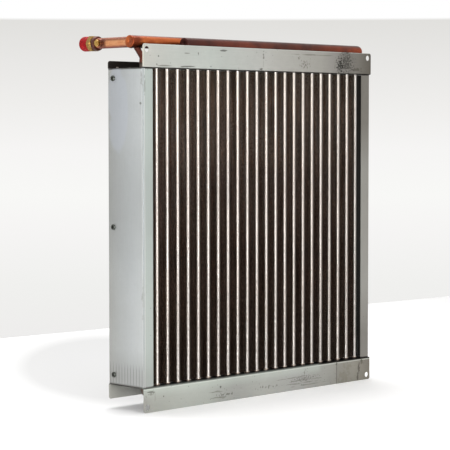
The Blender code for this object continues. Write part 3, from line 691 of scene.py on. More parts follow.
def cut(piece, shape):
    """Cuts a closed shape out of a piece with a Boolean, and applies it."""
    cutter = bpy.data.objects.new("cutter", new_mesh("cutter", *shape))
    bpy.context.scene.collection.objects.link(cutter)
    modifier = piece.modifiers.new("holes", "BOOLEAN")
    modifier.operation = "DIFFERENCE"
    modifier.solver = "EXACT"
    modifier.object = cutter
    bpy.context.view_layer.update()
    evaluated = piece.evaluated_get(bpy.context.evaluated_depsgraph_get())
    mesh = bpy.data.meshes.new_from_object(evaluated)
    piece.modifiers.clear()
    piece.data = mesh
    bpy.data.objects.remove(cutter, do_unlink=True)


def soften_edges(piece):
    """Rounds the sheared edges of the sheet a little, so that they catch the light."""
    bevel = piece.modifiers.new("sheared edges", "BEVEL")
    bevel.width = EDGE_ROUND
    bevel.segments = 2
    bevel.limit_method = "ANGLE"
    bevel.angle_limit = np.radians(50)
    bevel.harden_normals = True


def cylinder(centre, axis, radius, half_length, sides=32):
    ends = [(0, half_length), (radius, half_length), (radius, -half_length), (0, -half_length)]
    return turned(ends, np.asarray(centre, float), axis, sides)

# %% Tube sheets
FLANGE_CORNER = 0.0045
BOLT_HOLE_RADIUS = 0.0050
BOLT_HOLE_INSET = 0.0093
HOLE_CLEARANCE = 0.0003
HOLE_REACH = 0.004       # half the length of the cutters, well past the sheet


def add_tube_sheet(name, node, web_z, front_edge, rear_edge, up, finish):
    section = [(0, 0, front_edge), (0, 0, web_z), (0, CASING_DEPTH, web_z),
               (0, CASING_DEPTH, rear_edge)]
    shape = folded_sheet(section, RIGHT, SHEET_LEFT, SHEET_RIGHT, FLANGE_CORNER, -up)
    sheet = add_piece(name, shape, finish, [node])
    holes = [cylinder(spot + web_z * UP, UP, TUBE_RADIUS + HOLE_CLEARANCE, HOLE_REACH, 20)
             for spot in TUBE_SPOTS]
    bolt_z = front_edge - up * BOLT_HOLE_INSET
    for bolt_x in (SHEET_LEFT + BOLT_HOLE_INSET, SHEET_RIGHT - BOLT_HOLE_INSET):
        holes.append(cylinder((bolt_x, 0, bolt_z), REAR, BOLT_HOLE_RADIUS, HOLE_REACH))
    cut(sheet, together(holes))
    soften_edges(sheet)
    return sheet


top_sheet = add_tube_sheet("top_sheet", "top_tube_sheet", UPPER_WEB_UNDER, TOP_FLANGE_EDGE,
                           TOP_REAR_EDGE, 1, top_steel)
bottom_sheet = add_tube_sheet("bottom_sheet", "bottom_tube_sheet", LOWER_WEB_TOP,
                              BOTTOM_FLANGE_EDGE, BOTTOM_REAR_EDGE, -1, bottom_steel)
print("tube sheets:", [len(s.data.polygons) for s in (top_sheet, bottom_sheet)], "faces")

# %% Side panels
LEFT_LIP, RIGHT_LIP = 0.0221, 0.0241
LIP_CORNER = 0.0035


def add_side_panel(name, node, face_x, lip, sign):
    section = [(face_x + sign * lip, 0, 0), (face_x, 0, 0), (face_x, CASING_DEPTH, 0),
               (face_x + sign * lip, CASING_DEPTH, 0)]
    shape = folded_sheet(section, UP, BASE, TOP, LIP_CORNER, sign)
    panel = add_piece(name, shape, panel_steel, [node])
    soften_edges(panel)


add_side_panel("left_panel", "left_side_panel", LEFT_FACE, LEFT_LIP, 1)
add_side_panel("right_panel", "right_side_panel", RIGHT_FACE, RIGHT_LIP, -1)

# %% [markdown]
# ## Fins and collars
#
# Each fin is one aluminium sheet as long as the coil, pressed into shallow waves that stir the
# air and stop the eye from looking straight through. At every tube the press leaves a short
# collar, and the collars stack up into a bright sleeve round the tube: those are the light
# vertical lines. Each collar is painted dark on its flanks and in the groove at every fin, as
# painted shade, under a painted highlight strip on the side towards the light that is brighter
# and wider near the bottom, and it has a copper-tinted foot where the tube comes out. Aluminium
# is bright where the light reaches it, but a stack of fins lets little light in, so the fins are
# painted a dark warm brown: dust and painted shade together. The dust lies in upright streaks,
# because the air carries it past the same spots of every fin. The fins are painted darker
# towards the bottom, as painted shade, and a painted highlight strip lies before and to the left
# of each tube, strongest near the bottom.

# %% Fin pack
FIN_PITCH = 0.0022
FIN_THICKNESS = 0.00014
FIN_LOW, FIN_HIGH = BASE + 0.0045, TOP - 0.0022
FIN_FRONT, FIN_REAR = 0.0030, 0.0448
FIN_HALF_LENGTH = 0.275
FIN_COUNT = round((FIN_HIGH - FIN_LOW) / FIN_PITCH) + 1
WAVE_HEIGHT = 0.0011
FLAT_EDGE = 0.006
WAVES = 3


def fin_surface():
    """height(y) = level + wave height * sin(waves * 2 pi * share) between two flat edges, and
    the same line one sheet thickness lower; both run the length of the coil."""
    levels = np.linspace(FIN_LOW, FIN_HIGH - FIN_THICKNESS, FIN_COUNT)
    share = np.linspace(0, 1, 4 * WAVES + 1)
    wave_y = FIN_FRONT + FLAT_EDGE + share * (FIN_REAR - FIN_FRONT - 2 * FLAT_EDGE)
    y = np.concatenate([[FIN_FRONT], wave_y, [FIN_REAR]])
    wave = np.concatenate([[0.0], WAVE_HEIGHT * np.sin(2 * np.pi * WAVES * share), [0.0]])
    loop_y = np.concatenate([y, y[::-1]])
    loop_z = np.concatenate([wave + FIN_THICKNESS, wave[::-1]])
    grid = np.zeros((FIN_COUNT, len(loop_y), 2, 3))
    grid[..., 0] = [-FIN_HALF_LENGTH, FIN_HALF_LENGTH]
    grid[..., 1] = loop_y[None, :, None]
    grid[..., 2] = levels[:, None, None] + loop_z[None, :, None]
    shift = 2 * len(loop_y) * np.arange(FIN_COUNT)[:, None, None]
    return outward(grid.reshape(-1, 3), [(strip_faces(len(y))[None] + shift).reshape(-1, 4)])


HIGHLIGHT_STRIP_OFFSET = 0.0068   # a painted highlight strip lies before and to the left of each tube
SHADED_END = 0.2620     # the fins' right end, in the shade of the side panel's lip
FIN_SHADE_LEVELS = [          # painted shade: the fins' tone from the bottom up, darker towards the bottom
    (0.02, "#84786F"), (0.07, "#887970"), (0.125, "#928278"), (0.19, "#A6948B"),
    (0.24, "#A5958D"), (0.285, "#BAAAA2"), (0.330, "#C8B9B2"), (0.375, "#D0C4BF"),
    (0.42, "#EBE2DC"), (0.467, "#F1EAE6"), (0.514, "#F8F0EA"), (0.56, "#E9E4DE"),
]
foil = Finish("fin aluminium, dust and painted shade", 0.8, 0.24)
streaks = foil.noise(3.2, 2.0, (1, 3, 40))
# the fins' colour: dust streaks, with the painted shade of the gaps in their dark warm brown
foil.paint(foil.ramp(streaks, (0.36, "#77604C"), (0.46, "#DDBFA9"), (0.56, "#FFF8F0")))
foil.shade(foil.spread(foil.noise(2.4, 1.0, (1.5, 3, 1)), 0.35, 0.65, 0.85, 1.15))
foil.cover(foil.spread(foil.part("Y"), FIN_FRONT, FIN_FRONT + 0.0012, 0.6, 0.0), "#8B8279")
foil.shade(foil.graded("Z", FIN_SHADE_LEVELS))
foil.shade(foil.spread(foil.part("X"), SHADED_END, SHADED_END + 0.0012, 1.0, 0.10))
# painted highlight on the fins before and to the left of each tube, strongest near the bottom
off_strip = foil.off_lines("X", FRONT_ROW_X[0] - HIGHLIGHT_STRIP_OFFSET, TUBE_PITCH)
beside = foil.spread(off_strip, 0.07, 0.12, 0.90, 0.0)
before = foil.spread(foil.part("Y"), 0.0070, 0.0090, 1.0, 0.0)
lower = foil.spread(foil.part("Z"), 0.10, 0.40, 1.0, 0.3)
foil.cover(foil.times(foil.times(beside, before), lower), "#F0E4D8")
foil.relief(foil.noise(6.0), 0.05)
add_piece("fins", fin_surface(), foil, ["fin_pack"], 25)
print("fins:", FIN_COUNT)

# %% Collars round the tubes
COLLAR_RADIUS = TUBE_RADIUS + 0.00028
COLLAR_FLARE = 0.0009
COLLAR_LOW, COLLAR_HIGH = FIN_LOW - 0.0030, UPPER_WEB_UNDER - SEAT
COLLAR_PROFILE = [
    (0, COLLAR_LOW), (COLLAR_RADIUS + COLLAR_FLARE, COLLAR_LOW),
    (COLLAR_RADIUS + 0.3 * COLLAR_FLARE, COLLAR_LOW + 0.0006), (COLLAR_RADIUS, COLLAR_LOW + 0.0016),
    (COLLAR_RADIUS, COLLAR_HIGH), (0, COLLAR_HIGH),
]
COLLAR_HIGHLIGHT_LEVELS = [(0.02, "#FFFCF8"), (0.20, "#F6F2EC"), (0.35, "#D8D4CF"), (0.48, "#D8D4CF"),
                 (0.57, "#DEDBD5")]
LIT_SIDE = (-0.6, -0.8, 0.0)   # the side of each collar that takes the painted highlight strip; its flanks get painted shade

drawn = Finish("bright collar aluminium", 0.9, 0.28)
level = drawn.part("Z")
strip = drawn.maths("ADD", drawn.facing(LIT_SIDE), drawn.spread(level, 0.03, 0.40, 0.05, 0.0))
# painted shade on the flanks, under a painted highlight strip that is brighter and wider lower down
drawn.paint(drawn.ramp(0.0, (0.0, "#4A403A"), (1.0, "#4A403A")))
drawn.cover(drawn.spread(strip, 0.82, 0.93), drawn.graded("Z", COLLAR_HIGHLIGHT_LEVELS))
groove = drawn.maths("SINE", drawn.times(level, 2 * np.pi / FIN_PITCH))
# painted shade in the groove at every fin
drawn.shade(drawn.spread(groove, -1, 0.2, 0.90, 1.0))
ring = drawn.within("Z", COLLAR_LOW + 0.0008, COLLAR_LOW + 0.0020, 0.0006)
drawn.cover(drawn.times(ring, 0.9), "#DCD3C4")
drawn.cover(drawn.spread(level, COLLAR_LOW + 0.0002, COLLAR_LOW + 0.0010, 0.9, 0.0), "#8A5A48")
stain = drawn.noise(30.0, stretch=(1, 1, 4))
drawn.cover(drawn.spread(stain, 0.58, 0.8, 0.0, 0.30), "#B9AC9E")
drawn.relief(groove, 0.08)
collar_shape = together([turned(COLLAR_PROFILE, spot, UP, 20) for spot in TUBE_SPOTS])
add_piece("fin_collars", collar_shape, drawn, ["fin_pack"])
print("collars:", len(TUBE_SPOTS))

# %% [markdown]
# ## Copper, brass and plastic
#
# New copper is orange with a satin surface from drawing. Brazing heats it, and the heat leaves
# oxide: a red-brown skin near a joint, almost black where it was hottest, orange where it stayed
# cool. So each copper piece mixes a clean tone with an oxide tone by broad noise. Each piece is
# also painted darker along its upper and lower edges, by the direction of the surface: that is
# painted shade. Under the headers, soft dark patches are braze scorch and painted shade together,
# and a patch of painted shade darkens the left pipe beside its boss. The front header goes from
# dark at its left end to orange-brown at its right end.

# %% Copper, brass and plastic
def copper(name, clean, warm, oxide, oxide_share, over, under, roughness=0.36, metallic=0.8,
           tones=None, over_from=0.62, over_full=0.92):
    """Drawn copper tube, painted darker along its upper and lower edges by the direction of the
    surface, which is painted shade; tones, if given, are colours along X laid over most of it."""
    tube = Finish(name, metallic, roughness)
    patches = tube.noise(22.0, 4.0)
    fine = tube.noise(3.0)
    tube.paint(tube.ramp(patches, (0.35, clean), (0.62, warm)))
    if tones:
        tube.cover(tube.spread(patches, 0.35, 0.65, 0.95, 0.65), tube.graded("X", tones))
    tube.cover(tube.spread(fine, 0.45, 0.80, 0.0, 0.35), oxide)
    broad = tube.noise(40.0, 2.0)
    tube.cover(tube.spread(broad, 0.62 - oxide_share, 0.85 - oxide_share), oxide)
    # painted shade along the upper and lower edges, laid on by the surface's direction
    height = tube.facing(UP)
    tube.cover(tube.spread(height, over_from, over_full), over)
    tube.cover(tube.spread(height, -0.40, -0.85), under)
    tube.set(Roughness=tube.spread(patches, 0.3, 0.7, roughness - 0.06, roughness + 0.12))
    tube.relief(fine, 0.04)
    return tube


HEADER_TONES = [(-0.19, "#381A16"), (-0.05, "#723624"), (0.06, "#542C20"), (0.16, "#662A14"),
                (0.285, "#9A401A")]
header_copper = copper("drawn copper, heat-tinted", "#C46A36", "#A8522A", "#6E2C18", 0.12,
                       "#4A2016", "#4A1810")
pipe_copper = copper("drawn copper, salmon", "#DC9E70", "#CE885C", "#A5623E", 0.05,
                     "#7A4228", "#702A18", 0.42, over_from=0.15, over_full=0.60)
dark_copper = copper("copper with red oxide", "#5E2F26", "#4E2A22", "#3A1F1A", 0.12, "#3A211C",
                     "#3A1510", 0.42, 0.7, HEADER_TONES)
bend_copper = copper("copper with brown oxide", "#6A3527", "#582A20", "#34190F", 0.20, "#3A211C",
                     "#3A1510", 0.42, 0.7)
hairpin_copper = copper("copper under grey dust", "#6E625A", "#5E534C", "#3A2E28", 0.15, "#4A403A",
                        "#4A403A", 0.5, 0.6)
socket_copper = copper("copper socket, dark red-brown", "#7A4A3E", "#6A3A30", "#4A2A22", 0.10,
                       "#4A2C24", "#4A2018", 0.40, 0.7)


def cloudy(name, colour, second, grain_mm, metallic, roughness, depth_mm=0.03, specular=0.3):
    """A turned, plated or moulded surface in two near tones with a fine cloudy grain."""
    surface = Finish(name, metallic, roughness)
    grain = surface.noise(grain_mm, 4.0)
    surface.paint(surface.ramp(grain, (0.35, colour), (0.65, second)))
    surface.set(Specular_IOR_Level=specular,
                Roughness=surface.spread(grain, 0.3, 0.7, roughness - 0.06, roughness + 0.08))
    surface.relief(grain, depth_mm)
    return surface


brass = cloudy("machined brass", "#A88648", "#7E5E2E", 3.0, 0.8, 0.36)
bright_brass = cloudy("bright brass plug", "#D0A85A", "#8E6A30", 2.0, 0.85, 0.28)
zinc = cloudy("stained zinc screw", "#6A6E68", "#33362F", 3.0, 0.75, 0.30)
# the screw recess is painted near black: dirt and painted shade together
recess_dirt_and_shade = cloudy("dirt and painted shade in the screw recess", "#1C1C19", "#121210", 1.5, 0.1, 0.7)
braze = cloudy("copper-phosphorus braze", "#6E5044", "#4A342C", 2.5, 0.7, 0.42, 0.08)
red_plastic = cloudy("red polyethylene", "#A0161C", "#8A1015", 8.0, 0.0, 0.60, 0.05, 0.15)

SCORCH_AND_SHADE_SIZE = (0.012, 0.012, 0.011)


def scorch_and_shade(tube, spots, colour="#2A100C"):
    """Darkens soft patches of a finish: braze scorch where the torch was held to braze a tube in,
    together with painted shade under the headers, and painted shade alone beside the boss.
    """
    for spot in spots:
        tube.cover(tube.spread(tube.patch(tuple(spot), SCORCH_AND_SHADE_SIZE), 0.0, 0.5, 0.0, 0.9), colour)

# %% [markdown]
# ## Hairpins and return bends
#
# A hairpin is one long tube bent double at the bottom, pushed up through the fins from below.
# On top, short return bends join it to the next one. A circuit is four hairpins: the water comes
# in at a header, goes down and up four times, and leaves by the other header. A ring of braze
# closes each joint, as a small swelling round the tube.

# %% Hairpins and return bends
BEND_STUB = 0.004
circuit_starts = np.arange(0, TUBES_PER_ROW, PASSES)
circuit_ends = np.minimum(circuit_starts + PASSES, TUBES_PER_ROW) - 1
bend_starts = [n for n in range(TUBES_PER_ROW - 1) if n not in circuit_ends]


def add_bend(node, path, finish):
    across = unit(np.cross(path[-1] - path[0], UP))
    add_piece(f"copper_{node}", swept(path, TUBE_RADIUS, across), finish, [node])


for n in range(TUBES_PER_ROW):
    path = bend_path(REAR_SPOTS[n], FRONT_SPOTS[n], TUBE_END, HAIRPIN_BEND_Z, -1)
    add_bend(f"hairpin_{n + 1:02d}", path, hairpin_copper)
for k, n in enumerate(bend_starts):
    path = bend_path(FRONT_SPOTS[n], REAR_SPOTS[n + 1], TUBE_END + SEAT,
                     TUBE_END + SEAT + BEND_STUB, 1)
    add_bend(f"return_bend_{k + 1:02d}", path, bend_copper)
print("hairpins:", TUBES_PER_ROW, "return bends:", len(bend_starts))

# %% Headers, feeders and their braze
HEADER_RADIUS = 0.0111
REAR_HEADER_Y, REAR_HEADER_Z = 0.046475, 0.61975
FRONT_HEADER_Y, FRONT_HEADER_Z = FRONT_ROW_Y, 0.61745
REAR_HEADER_X = (-0.28785, 0.24525)
FRONT_HEADER_X = (-0.18985, 0.28415)
END_ROUND = 0.0014
DIMPLE_RADIUS, DIMPLE_DEPTH = 0.0062, 0.0022
NECK_HEIGHT, FEEDER_BEND = 0.009, 0.006
FILLET, FILLET_REACH = 0.0014, 0.0016   # the braze swells a feeder where it meets its header
FLARE, FLARE_HEIGHT = 0.0006, 0.0065    # a feeder is flared over the tube below


def closed_end(length, steps=6):
    """From the axis out: a dimple of depth * (1 + cos(pi * r / radius)) / 2, a flat rim, and a
    quarter circle into the pipe's wall."""
    dimple_r = np.linspace(0, DIMPLE_RADIUS, steps + 1)
    dimple_h = length - DIMPLE_DEPTH * (1 + np.cos(np.pi * dimple_r / DIMPLE_RADIUS)) / 2
    angle = np.linspace(0, np.pi / 2, 5)
    rim_r = HEADER_RADIUS - END_ROUND + END_ROUND * np.sin(angle)
    rim_h = length - END_ROUND + END_ROUND * np.cos(angle)
    return np.stack([np.concatenate([dimple_r, rim_r]), np.concatenate([dimple_h, rim_h])], axis=-1)


def domed_end(length, steps=10):
    """A half sphere: radius * sin(angle) against length - radius + radius * cos(angle)."""
    angle = np.linspace(0, np.pi / 2, steps + 1)
    return np.stack([HEADER_RADIUS * np.sin(angle),
                     length - HEADER_RADIUS + HEADER_RADIUS * np.cos(angle)], axis=-1)


def header_shape(span, y, z, right_end):
    length = span[1] - span[0]
    flat = closed_end(length)
    left = np.stack([flat[::-1, 0], length - flat[::-1, 1]], axis=-1)
    return turned(np.concatenate([right_end(length), left]), np.array([span[0], y, z]), RIGHT, 40)


def feeder_shape(spot, y, z):
    """radius = tube radius + fillet * exp(-distance to the header / reach) + flare, the last
    only up to the flare's height; a feeder that starts beside its header leans over to it."""
    foot = spot + (TUBE_END + SEAT) * UP
    if abs(y - spot[1]) < SEAT:
        path = np.linspace(foot, spot + z * UP, 40)
    else:
        neck = foot + NECK_HEIGHT * UP
        under = np.array([spot[0], y, z - HEADER_RADIUS])
        path = rounded_path([foot, neck, under, np.array([spot[0], y, z])], FEEDER_BEND, 6)
        fine = np.linspace(0, 1, 6)[1:, None]
        path = np.concatenate([path[:-1], path[-2] * (1 - fine) + path[-1] * fine])
    clear = np.maximum(np.hypot(path[:, 1] - y, path[:, 2] - z) - HEADER_RADIUS, 0)
    flared = path[:, 2] - foot[2] < FLARE_HEIGHT
    radius = TUBE_RADIUS + FILLET * np.exp(-clear / FILLET_REACH) + FLARE * flared
    return swept(path, radius, RIGHT)


def braze_ring(centre, bulge=0.0011, half_height=0.0016, steps=6):
    """A bead round the tube: its radius swells by bulge * sin(angle) along its height."""
    angle = np.linspace(0, np.pi, steps + 1)
    radius = TUBE_RADIUS + bulge * np.sin(angle)
    height = -half_height * np.cos(angle)
    profile = np.stack([np.concatenate([[0], radius, [0]]),
                        np.concatenate([[-half_height], height, [half_height]])], axis=-1)
    return turned(profile, centre, UP, 16)


# soft dark patches under the headers, where the feeders join: braze scorch and painted shade
scorch_and_shade(header_copper, [(REAR_ROW_X[n] + 0.003, REAR_HEADER_Y - 0.006, REAR_HEADER_Z - 0.0095)
                       for n in circuit_starts])
scorch_and_shade(dark_copper, [(FRONT_ROW_X[n], FRONT_HEADER_Y - 0.004, FRONT_HEADER_Z - 0.011)
                     for n in circuit_ends])
rear_pipe = header_shape(REAR_HEADER_X, REAR_HEADER_Y, REAR_HEADER_Z, closed_end)
front_pipe = header_shape(FRONT_HEADER_X, FRONT_HEADER_Y, FRONT_HEADER_Z, domed_end)
rear_feeders = together([feeder_shape(REAR_SPOTS[n], REAR_HEADER_Y, REAR_HEADER_Z)
                         for n in circuit_starts])
front_feeders = together([feeder_shape(FRONT_SPOTS[n], FRONT_HEADER_Y, FRONT_HEADER_Z)
                          for n in circuit_ends])
rings = together([braze_ring(spot + TUBE_END * UP) for spot in TUBE_SPOTS])
add_piece("rear_header_pipe", rear_pipe, header_copper, ["rear_header"])
add_piece("front_header_pipe", front_pipe, dark_copper, ["front_header"])
add_piece("rear_header_feeders", rear_feeders, bend_copper, ["rear_header"])
add_piece("front_header_feeders", front_feeders, bend_copper, ["front_header"])
add_piece("braze_rings", rings, braze, ["rear_header", "front_header"])
print("headers with", len(circuit_starts), "feeders each;", len(TUBE_SPOTS), "braze rings")

# %% [markdown]
# ## The connections
#
# Each header has one larger pipe that runs to the rear and ends in a brass adapter: a round
# copper-brown socket over the pipe, a hexagon for the spanner, and a male thread under a red
# plastic cap that keeps dirt out in transport. A short boss on the pipe's outer side has a bore
# with a small hexagon-headed brass plug in it, for letting air out. A hexagon is a turned piece
# whose radius follows a six-sided outline: half its width across flats over the cosine of the
# angle from the middle of a flat.

# %% Connection pipes, bosses, plugs, adapters and caps
PIPE_RADIUS = 0.009525
PIPE_END_Y = 0.1427
PIPE_FROM_HEADER_END = 0.014
BOSS_Y = PIPE_END_Y - 0.0121
BOSS_RADIUS, BOSS_REACH, BOSS_EDGE = 0.00775, 0.0120, 0.0006
BORE_RADIUS, BORE_DEPTH = 0.0058, 0.0018
SHANK_RADIUS, PLUG_STANDOFF, PLUG_HEAD, PLUG_FLATS = 0.0045, 0.0010, 0.0040, 0.0106
ADAPTER_RADIUS, ROUND_LENGTH, HEX_LENGTH, HEX_FLATS = 0.0129, 0.0080, 0.0105, 0.0264
THREAD_RADIUS, THREAD_LENGTH, THREAD_PITCH, THREAD_DEPTH = 0.0100, 0.0125, 0.0009, 0.0006
CAP_RADIUS, CAP_LENGTH, CAP_WALL, CAP_ROUND = 0.0133, 0.0230, 0.0014, 0.0065


def smooth_profile(corners, radius, steps=4):
    """A lathe profile of (radius, height) corners with small rounds between them."""
    flat = np.array([(r, 0.0, h) for r, h in corners])
    path = rounded_path(flat, radius, steps)
    return path[:, [0, 2]]


def hexagon_shape(foot, axis, corner, flats, length, rim_share, sides=60):
    """radius(angle) = half flats / cos(angle from the nearest flat's middle), with a corner
    towards the given direction; the corners are chamfered, so height falls by tan(30 degrees)
    times what the radius passes half flats."""
    angle = np.linspace(0, 2 * np.pi, sides, endpoint=False)
    off_flat = angle % (np.pi / 3) - np.pi / 6
    outline = flats / 2 / np.cos(off_flat)
    drop = (outline - flats / 2) * np.tan(np.pi / 6) + SEAT
    around = np.cos(angle)[:, None] * corner + np.sin(angle)[:, None] * np.cross(axis, corner)
    rim = rim_share * flats / 2 * around
    rings = np.stack([foot + rim, foot + drop[:, None] * axis + outline[:, None] * around,
                      foot + (length - drop)[:, None] * axis + outline[:, None] * around,
                      foot + length * axis + rim])
    return closed_rings(rings, foot, foot + length * axis)


def thread_shape(foot, start):
    """A ridged core: the radius steps by the thread's depth every half pitch."""
    turns = np.arange(start, start + THREAD_LENGTH - 0.001, THREAD_PITCH)
    ridge_r = THREAD_RADIUS - np.tile([THREAD_DEPTH, 0.0], len(turns))
    ridge_h = np.repeat(turns, 2) + np.tile([0.0, THREAD_PITCH / 2], len(turns))
    root, end = start - 0.002, start + THREAD_LENGTH
    profile = np.concatenate([[[0, root], [THREAD_RADIUS - THREAD_DEPTH, root]],
                              np.stack([ridge_r, ridge_h], axis=-1),
                              [[THREAD_RADIUS - 2 * THREAD_DEPTH, end], [0, end]]])
    return turned(profile, foot, REAR, 32)


def add_pipe_and_boss(side, start, boss_foot, out):
    length = PIPE_END_Y - start[1]
    distance = np.linspace(0, 1, 24) ** 2 * length
    swell = PIPE_RADIUS + 0.0016 * np.exp(-np.maximum(distance - 0.0015, 0) / 0.0018)
    profile = np.stack([np.concatenate([[0], swell, [0]]),
                        np.concatenate([[0], distance, [length]])], axis=-1)
    bore_floor = BOSS_REACH - BORE_DEPTH
    boss = smooth_profile([(0, 0), (BOSS_RADIUS, 0), (BOSS_RADIUS, BOSS_REACH),
                           (BORE_RADIUS, BOSS_REACH), (BORE_RADIUS, bore_floor), (0, bore_floor)],
                          BOSS_EDGE)
    shapes = [turned(profile, start, REAR, 40), turned(boss, boss_foot, out, 36)]
    add_piece(f"{side}_pipe", together(shapes), pipe_copper,
              [f"{side}_connection_pipe"])


def add_vent_plug(side, boss_foot, out):
    foot = boss_foot + (BOSS_REACH - BORE_DEPTH + SEAT) * out
    head = BORE_DEPTH - SEAT + PLUG_STANDOFF
    shank = smooth_profile([(0, 0), (SHANK_RADIUS, 0), (SHANK_RADIUS, head + 0.001),
                            (0, head + 0.001)], SEAT)
    shapes = [turned(shank, foot, out, 24),
              hexagon_shape(foot + head * out, out, UP, PLUG_FLATS, PLUG_HEAD, 0.85)]
    add_piece(f"{side}_brass_plug", together(shapes), bright_brass,
              [f"{side}_vent_plug"], 30)


def add_adapter_and_cap(side, foot):
    socket = smooth_profile([(0, 0), (ADAPTER_RADIUS, 0), (ADAPTER_RADIUS, ROUND_LENGTH),
                             (0, ROUND_LENGTH)], 0.0012)
    add_piece(f"{side}_copper_socket", turned(socket, foot, REAR, 40), socket_copper,
              [f"{side}_adapter"], 30)
    hex_foot = foot + ROUND_LENGTH * REAR
    hex_and_thread = [hexagon_shape(hex_foot, REAR, RIGHT, HEX_FLATS, HEX_LENGTH, 0.97),
                      thread_shape(foot, ROUND_LENGTH + HEX_LENGTH)]
    add_piece(f"{side}_brass_adapter", together(hex_and_thread), brass,
              [f"{side}_adapter"], 30)

    cap_foot = hex_foot + (HEX_LENGTH + SEAT) * REAR
    inner, floor_h = CAP_RADIUS - CAP_WALL, CAP_LENGTH - CAP_WALL
    outside = smooth_profile([(0, CAP_LENGTH), (CAP_RADIUS, CAP_LENGTH), (CAP_RADIUS, 0)],
                             CAP_ROUND, 10)
    inside = smooth_profile([(inner, 0), (inner, floor_h), (0, floor_h)], CAP_ROUND - CAP_WALL, 10)
    add_piece(f"{side}_red_cap", turned(np.concatenate([outside, inside]), cap_foot, REAR, 40),
              red_plastic, [f"{side}_cap"])


def add_connection(side, x, header_y, z, out):
    boss_foot = np.array([x, BOSS_Y, z])
    add_pipe_and_boss(side, np.array([x, header_y + HEADER_RADIUS - 0.0015, z]), boss_foot, out)
    add_vent_plug(side, boss_foot, out)
    add_adapter_and_cap(side, np.array([x, PIPE_END_Y + SEAT, z]))


# painted shade on the front side of the left boss
scorch_and_shade(pipe_copper, [(REAR_HEADER_X[0] + 0.0060, BOSS_Y - BOSS_RADIUS, REAR_HEADER_Z)], "#5E3022")
add_connection("left", REAR_HEADER_X[0] + PIPE_FROM_HEADER_END, REAR_HEADER_Y, REAR_HEADER_Z,
               -RIGHT)
add_connection("right", FRONT_HEADER_X[1] - PIPE_FROM_HEADER_END, FRONT_HEADER_Y,
               FRONT_HEADER_Z, RIGHT)

# %% [markdown]
# ## Screws
#
# The side panels are held by pan-head screws with a cross recess. The head is a height over a
# disc: a shallow dome, less a cross whose depth falls off towards the ends of its four arms. One
# formula gives the whole head, so no cutting is needed. The faces of the recess get a second
# material, painted near black: dirt and painted shade together.

# %% Cross-recess screws
SCREW_RADIUS, SCREW_RIM, SCREW_DOME, SCREW_SHANK = 0.0050, 0.0010, 0.0016, 0.0021
RECESS_DEPTH, ARM_HALF_WIDTH, ARM_REACH = 0.0017, 0.0010, 0.0038
WALL_SLOPE, ARM_SLOPE = 0.0003, 0.0006
SHANK_STRAIGHT, SHANK_LENGTH = 0.0075, 0.0085
SCREW_Y = CASING_DEPTH - 0.0139
SCREW_LEVELS = (BASE + 0.0163, BASE + 0.2755, TOP - 0.0163)
HEAD_RINGS, HEAD_SIDES = 22, 64


def screw_shape(seat, axis, turn):
    """height(r, angle) = rim + dome * sqrt(1 - (r / R)^4), less the recess: full depth where
    the distance to the nearest arm's centre line and the radius are both small. Returns the
    closed shape and how deep the recess is at each point of the head, from 0 to 1."""
    share = np.linspace(0.02, 1, HEAD_RINGS)[:, None]
    angle = np.linspace(0, 2 * np.pi, HEAD_SIDES, endpoint=False)
    radius = SCREW_RADIUS * share * np.ones(HEAD_SIDES)
    dome = SCREW_RIM + SCREW_DOME * np.sqrt(np.maximum(1 - share ** 4, 0))
    across = np.abs(np.sin(2 * (angle + turn)) / 2) * radius
    wall = np.clip((ARM_HALF_WIDTH - across) / WALL_SLOPE, 0, 1)
    reach = np.clip((ARM_REACH - radius) / ARM_SLOPE, 0, 1)
    height = dome - RECESS_DEPTH * wall * reach
    around = np.cos(angle)[:, None] * UP + np.sin(angle)[:, None] * np.cross(axis, UP)
    head = seat + radius[..., None] * around + height[..., None] * axis
    rim = seat + np.array([SCREW_RADIUS, SCREW_SHANK, SCREW_SHANK])[:, None, None] * around
    rim = rim + np.array([0.0, 0.0, -SHANK_STRAIGHT])[:, None, None] * axis
    shape = closed_rings(np.concatenate([head, rim]), seat + height[0, 0] * axis,
                         seat - SHANK_LENGTH * axis)
    return shape, (wall * reach).ravel()


def add_screw(name, node, seat, axis, turn):
    shape, recess = screw_shape(seat, axis, turn)
    screw = add_piece(name, shape, zinc, [node], 35)
    screw.data.materials.append(recess_dirt_and_shade.material)
    depth = np.zeros(len(shape[0]))
    depth[:len(recess)] = recess
    depth[-2] = 1.0
    faces = np.concatenate([depth[group].mean(axis=1) for group in shape[1]])
    screw.data.polygons.foreach_set("material_index", (faces > 0.4).astype(np.int32))


for side_name, face_x, sign in (("left", LEFT_FACE, -1), ("right", RIGHT_FACE, 1)):
    for k, level in enumerate(SCREW_LEVELS):
        seat = np.array([face_x + sign * SEAT, SCREW_Y, level])
        add_screw(f"{side_name}_cross_screw_{k + 1}", f"{side_name}_screw_{k + 1}", seat,
                  sign * RIGHT, 0.5 + k)

# %% [markdown]
# ## Light, floor and background
#
# The photograph is a cut-out on a pale studio background: a white floor with a soft grey shadow,
# and behind it an off-white wall that is a little darker towards its top, under a white strip.
# The floor ends at the wall's foot, and the wall is the world's colour, a ramp over the height of
# the direction that one looks in. The camera and the metal's mirror images see it; everything
# else gets a plain dimmer grey. The shadow is partly a real one, from the lamp overhead, and
# partly a grey oval in the floor's own colour. Two soft lamps stand in front, at the coil's own
# height, so that their light reaches between the fins and falls off towards the right end. A
# third one hangs overhead.

# %% Floor
FLOOR_Z = BOTTOM_FLANGE_EDGE - 0.0002
FLOOR_LIFT = 0.20   # added where the floor is seen or mirrored, so it is white but lights nothing
WALL_FOOT = [(14.0, 0.927), (2.0, 0.927), (-14.0, 1.985)]
SHADE = {"Location": (0.08, 0.50, FLOOR_Z), "Rotation": (0, 0, np.radians(51)),
         "Scale": (0.75, 0.30, 1.0)}

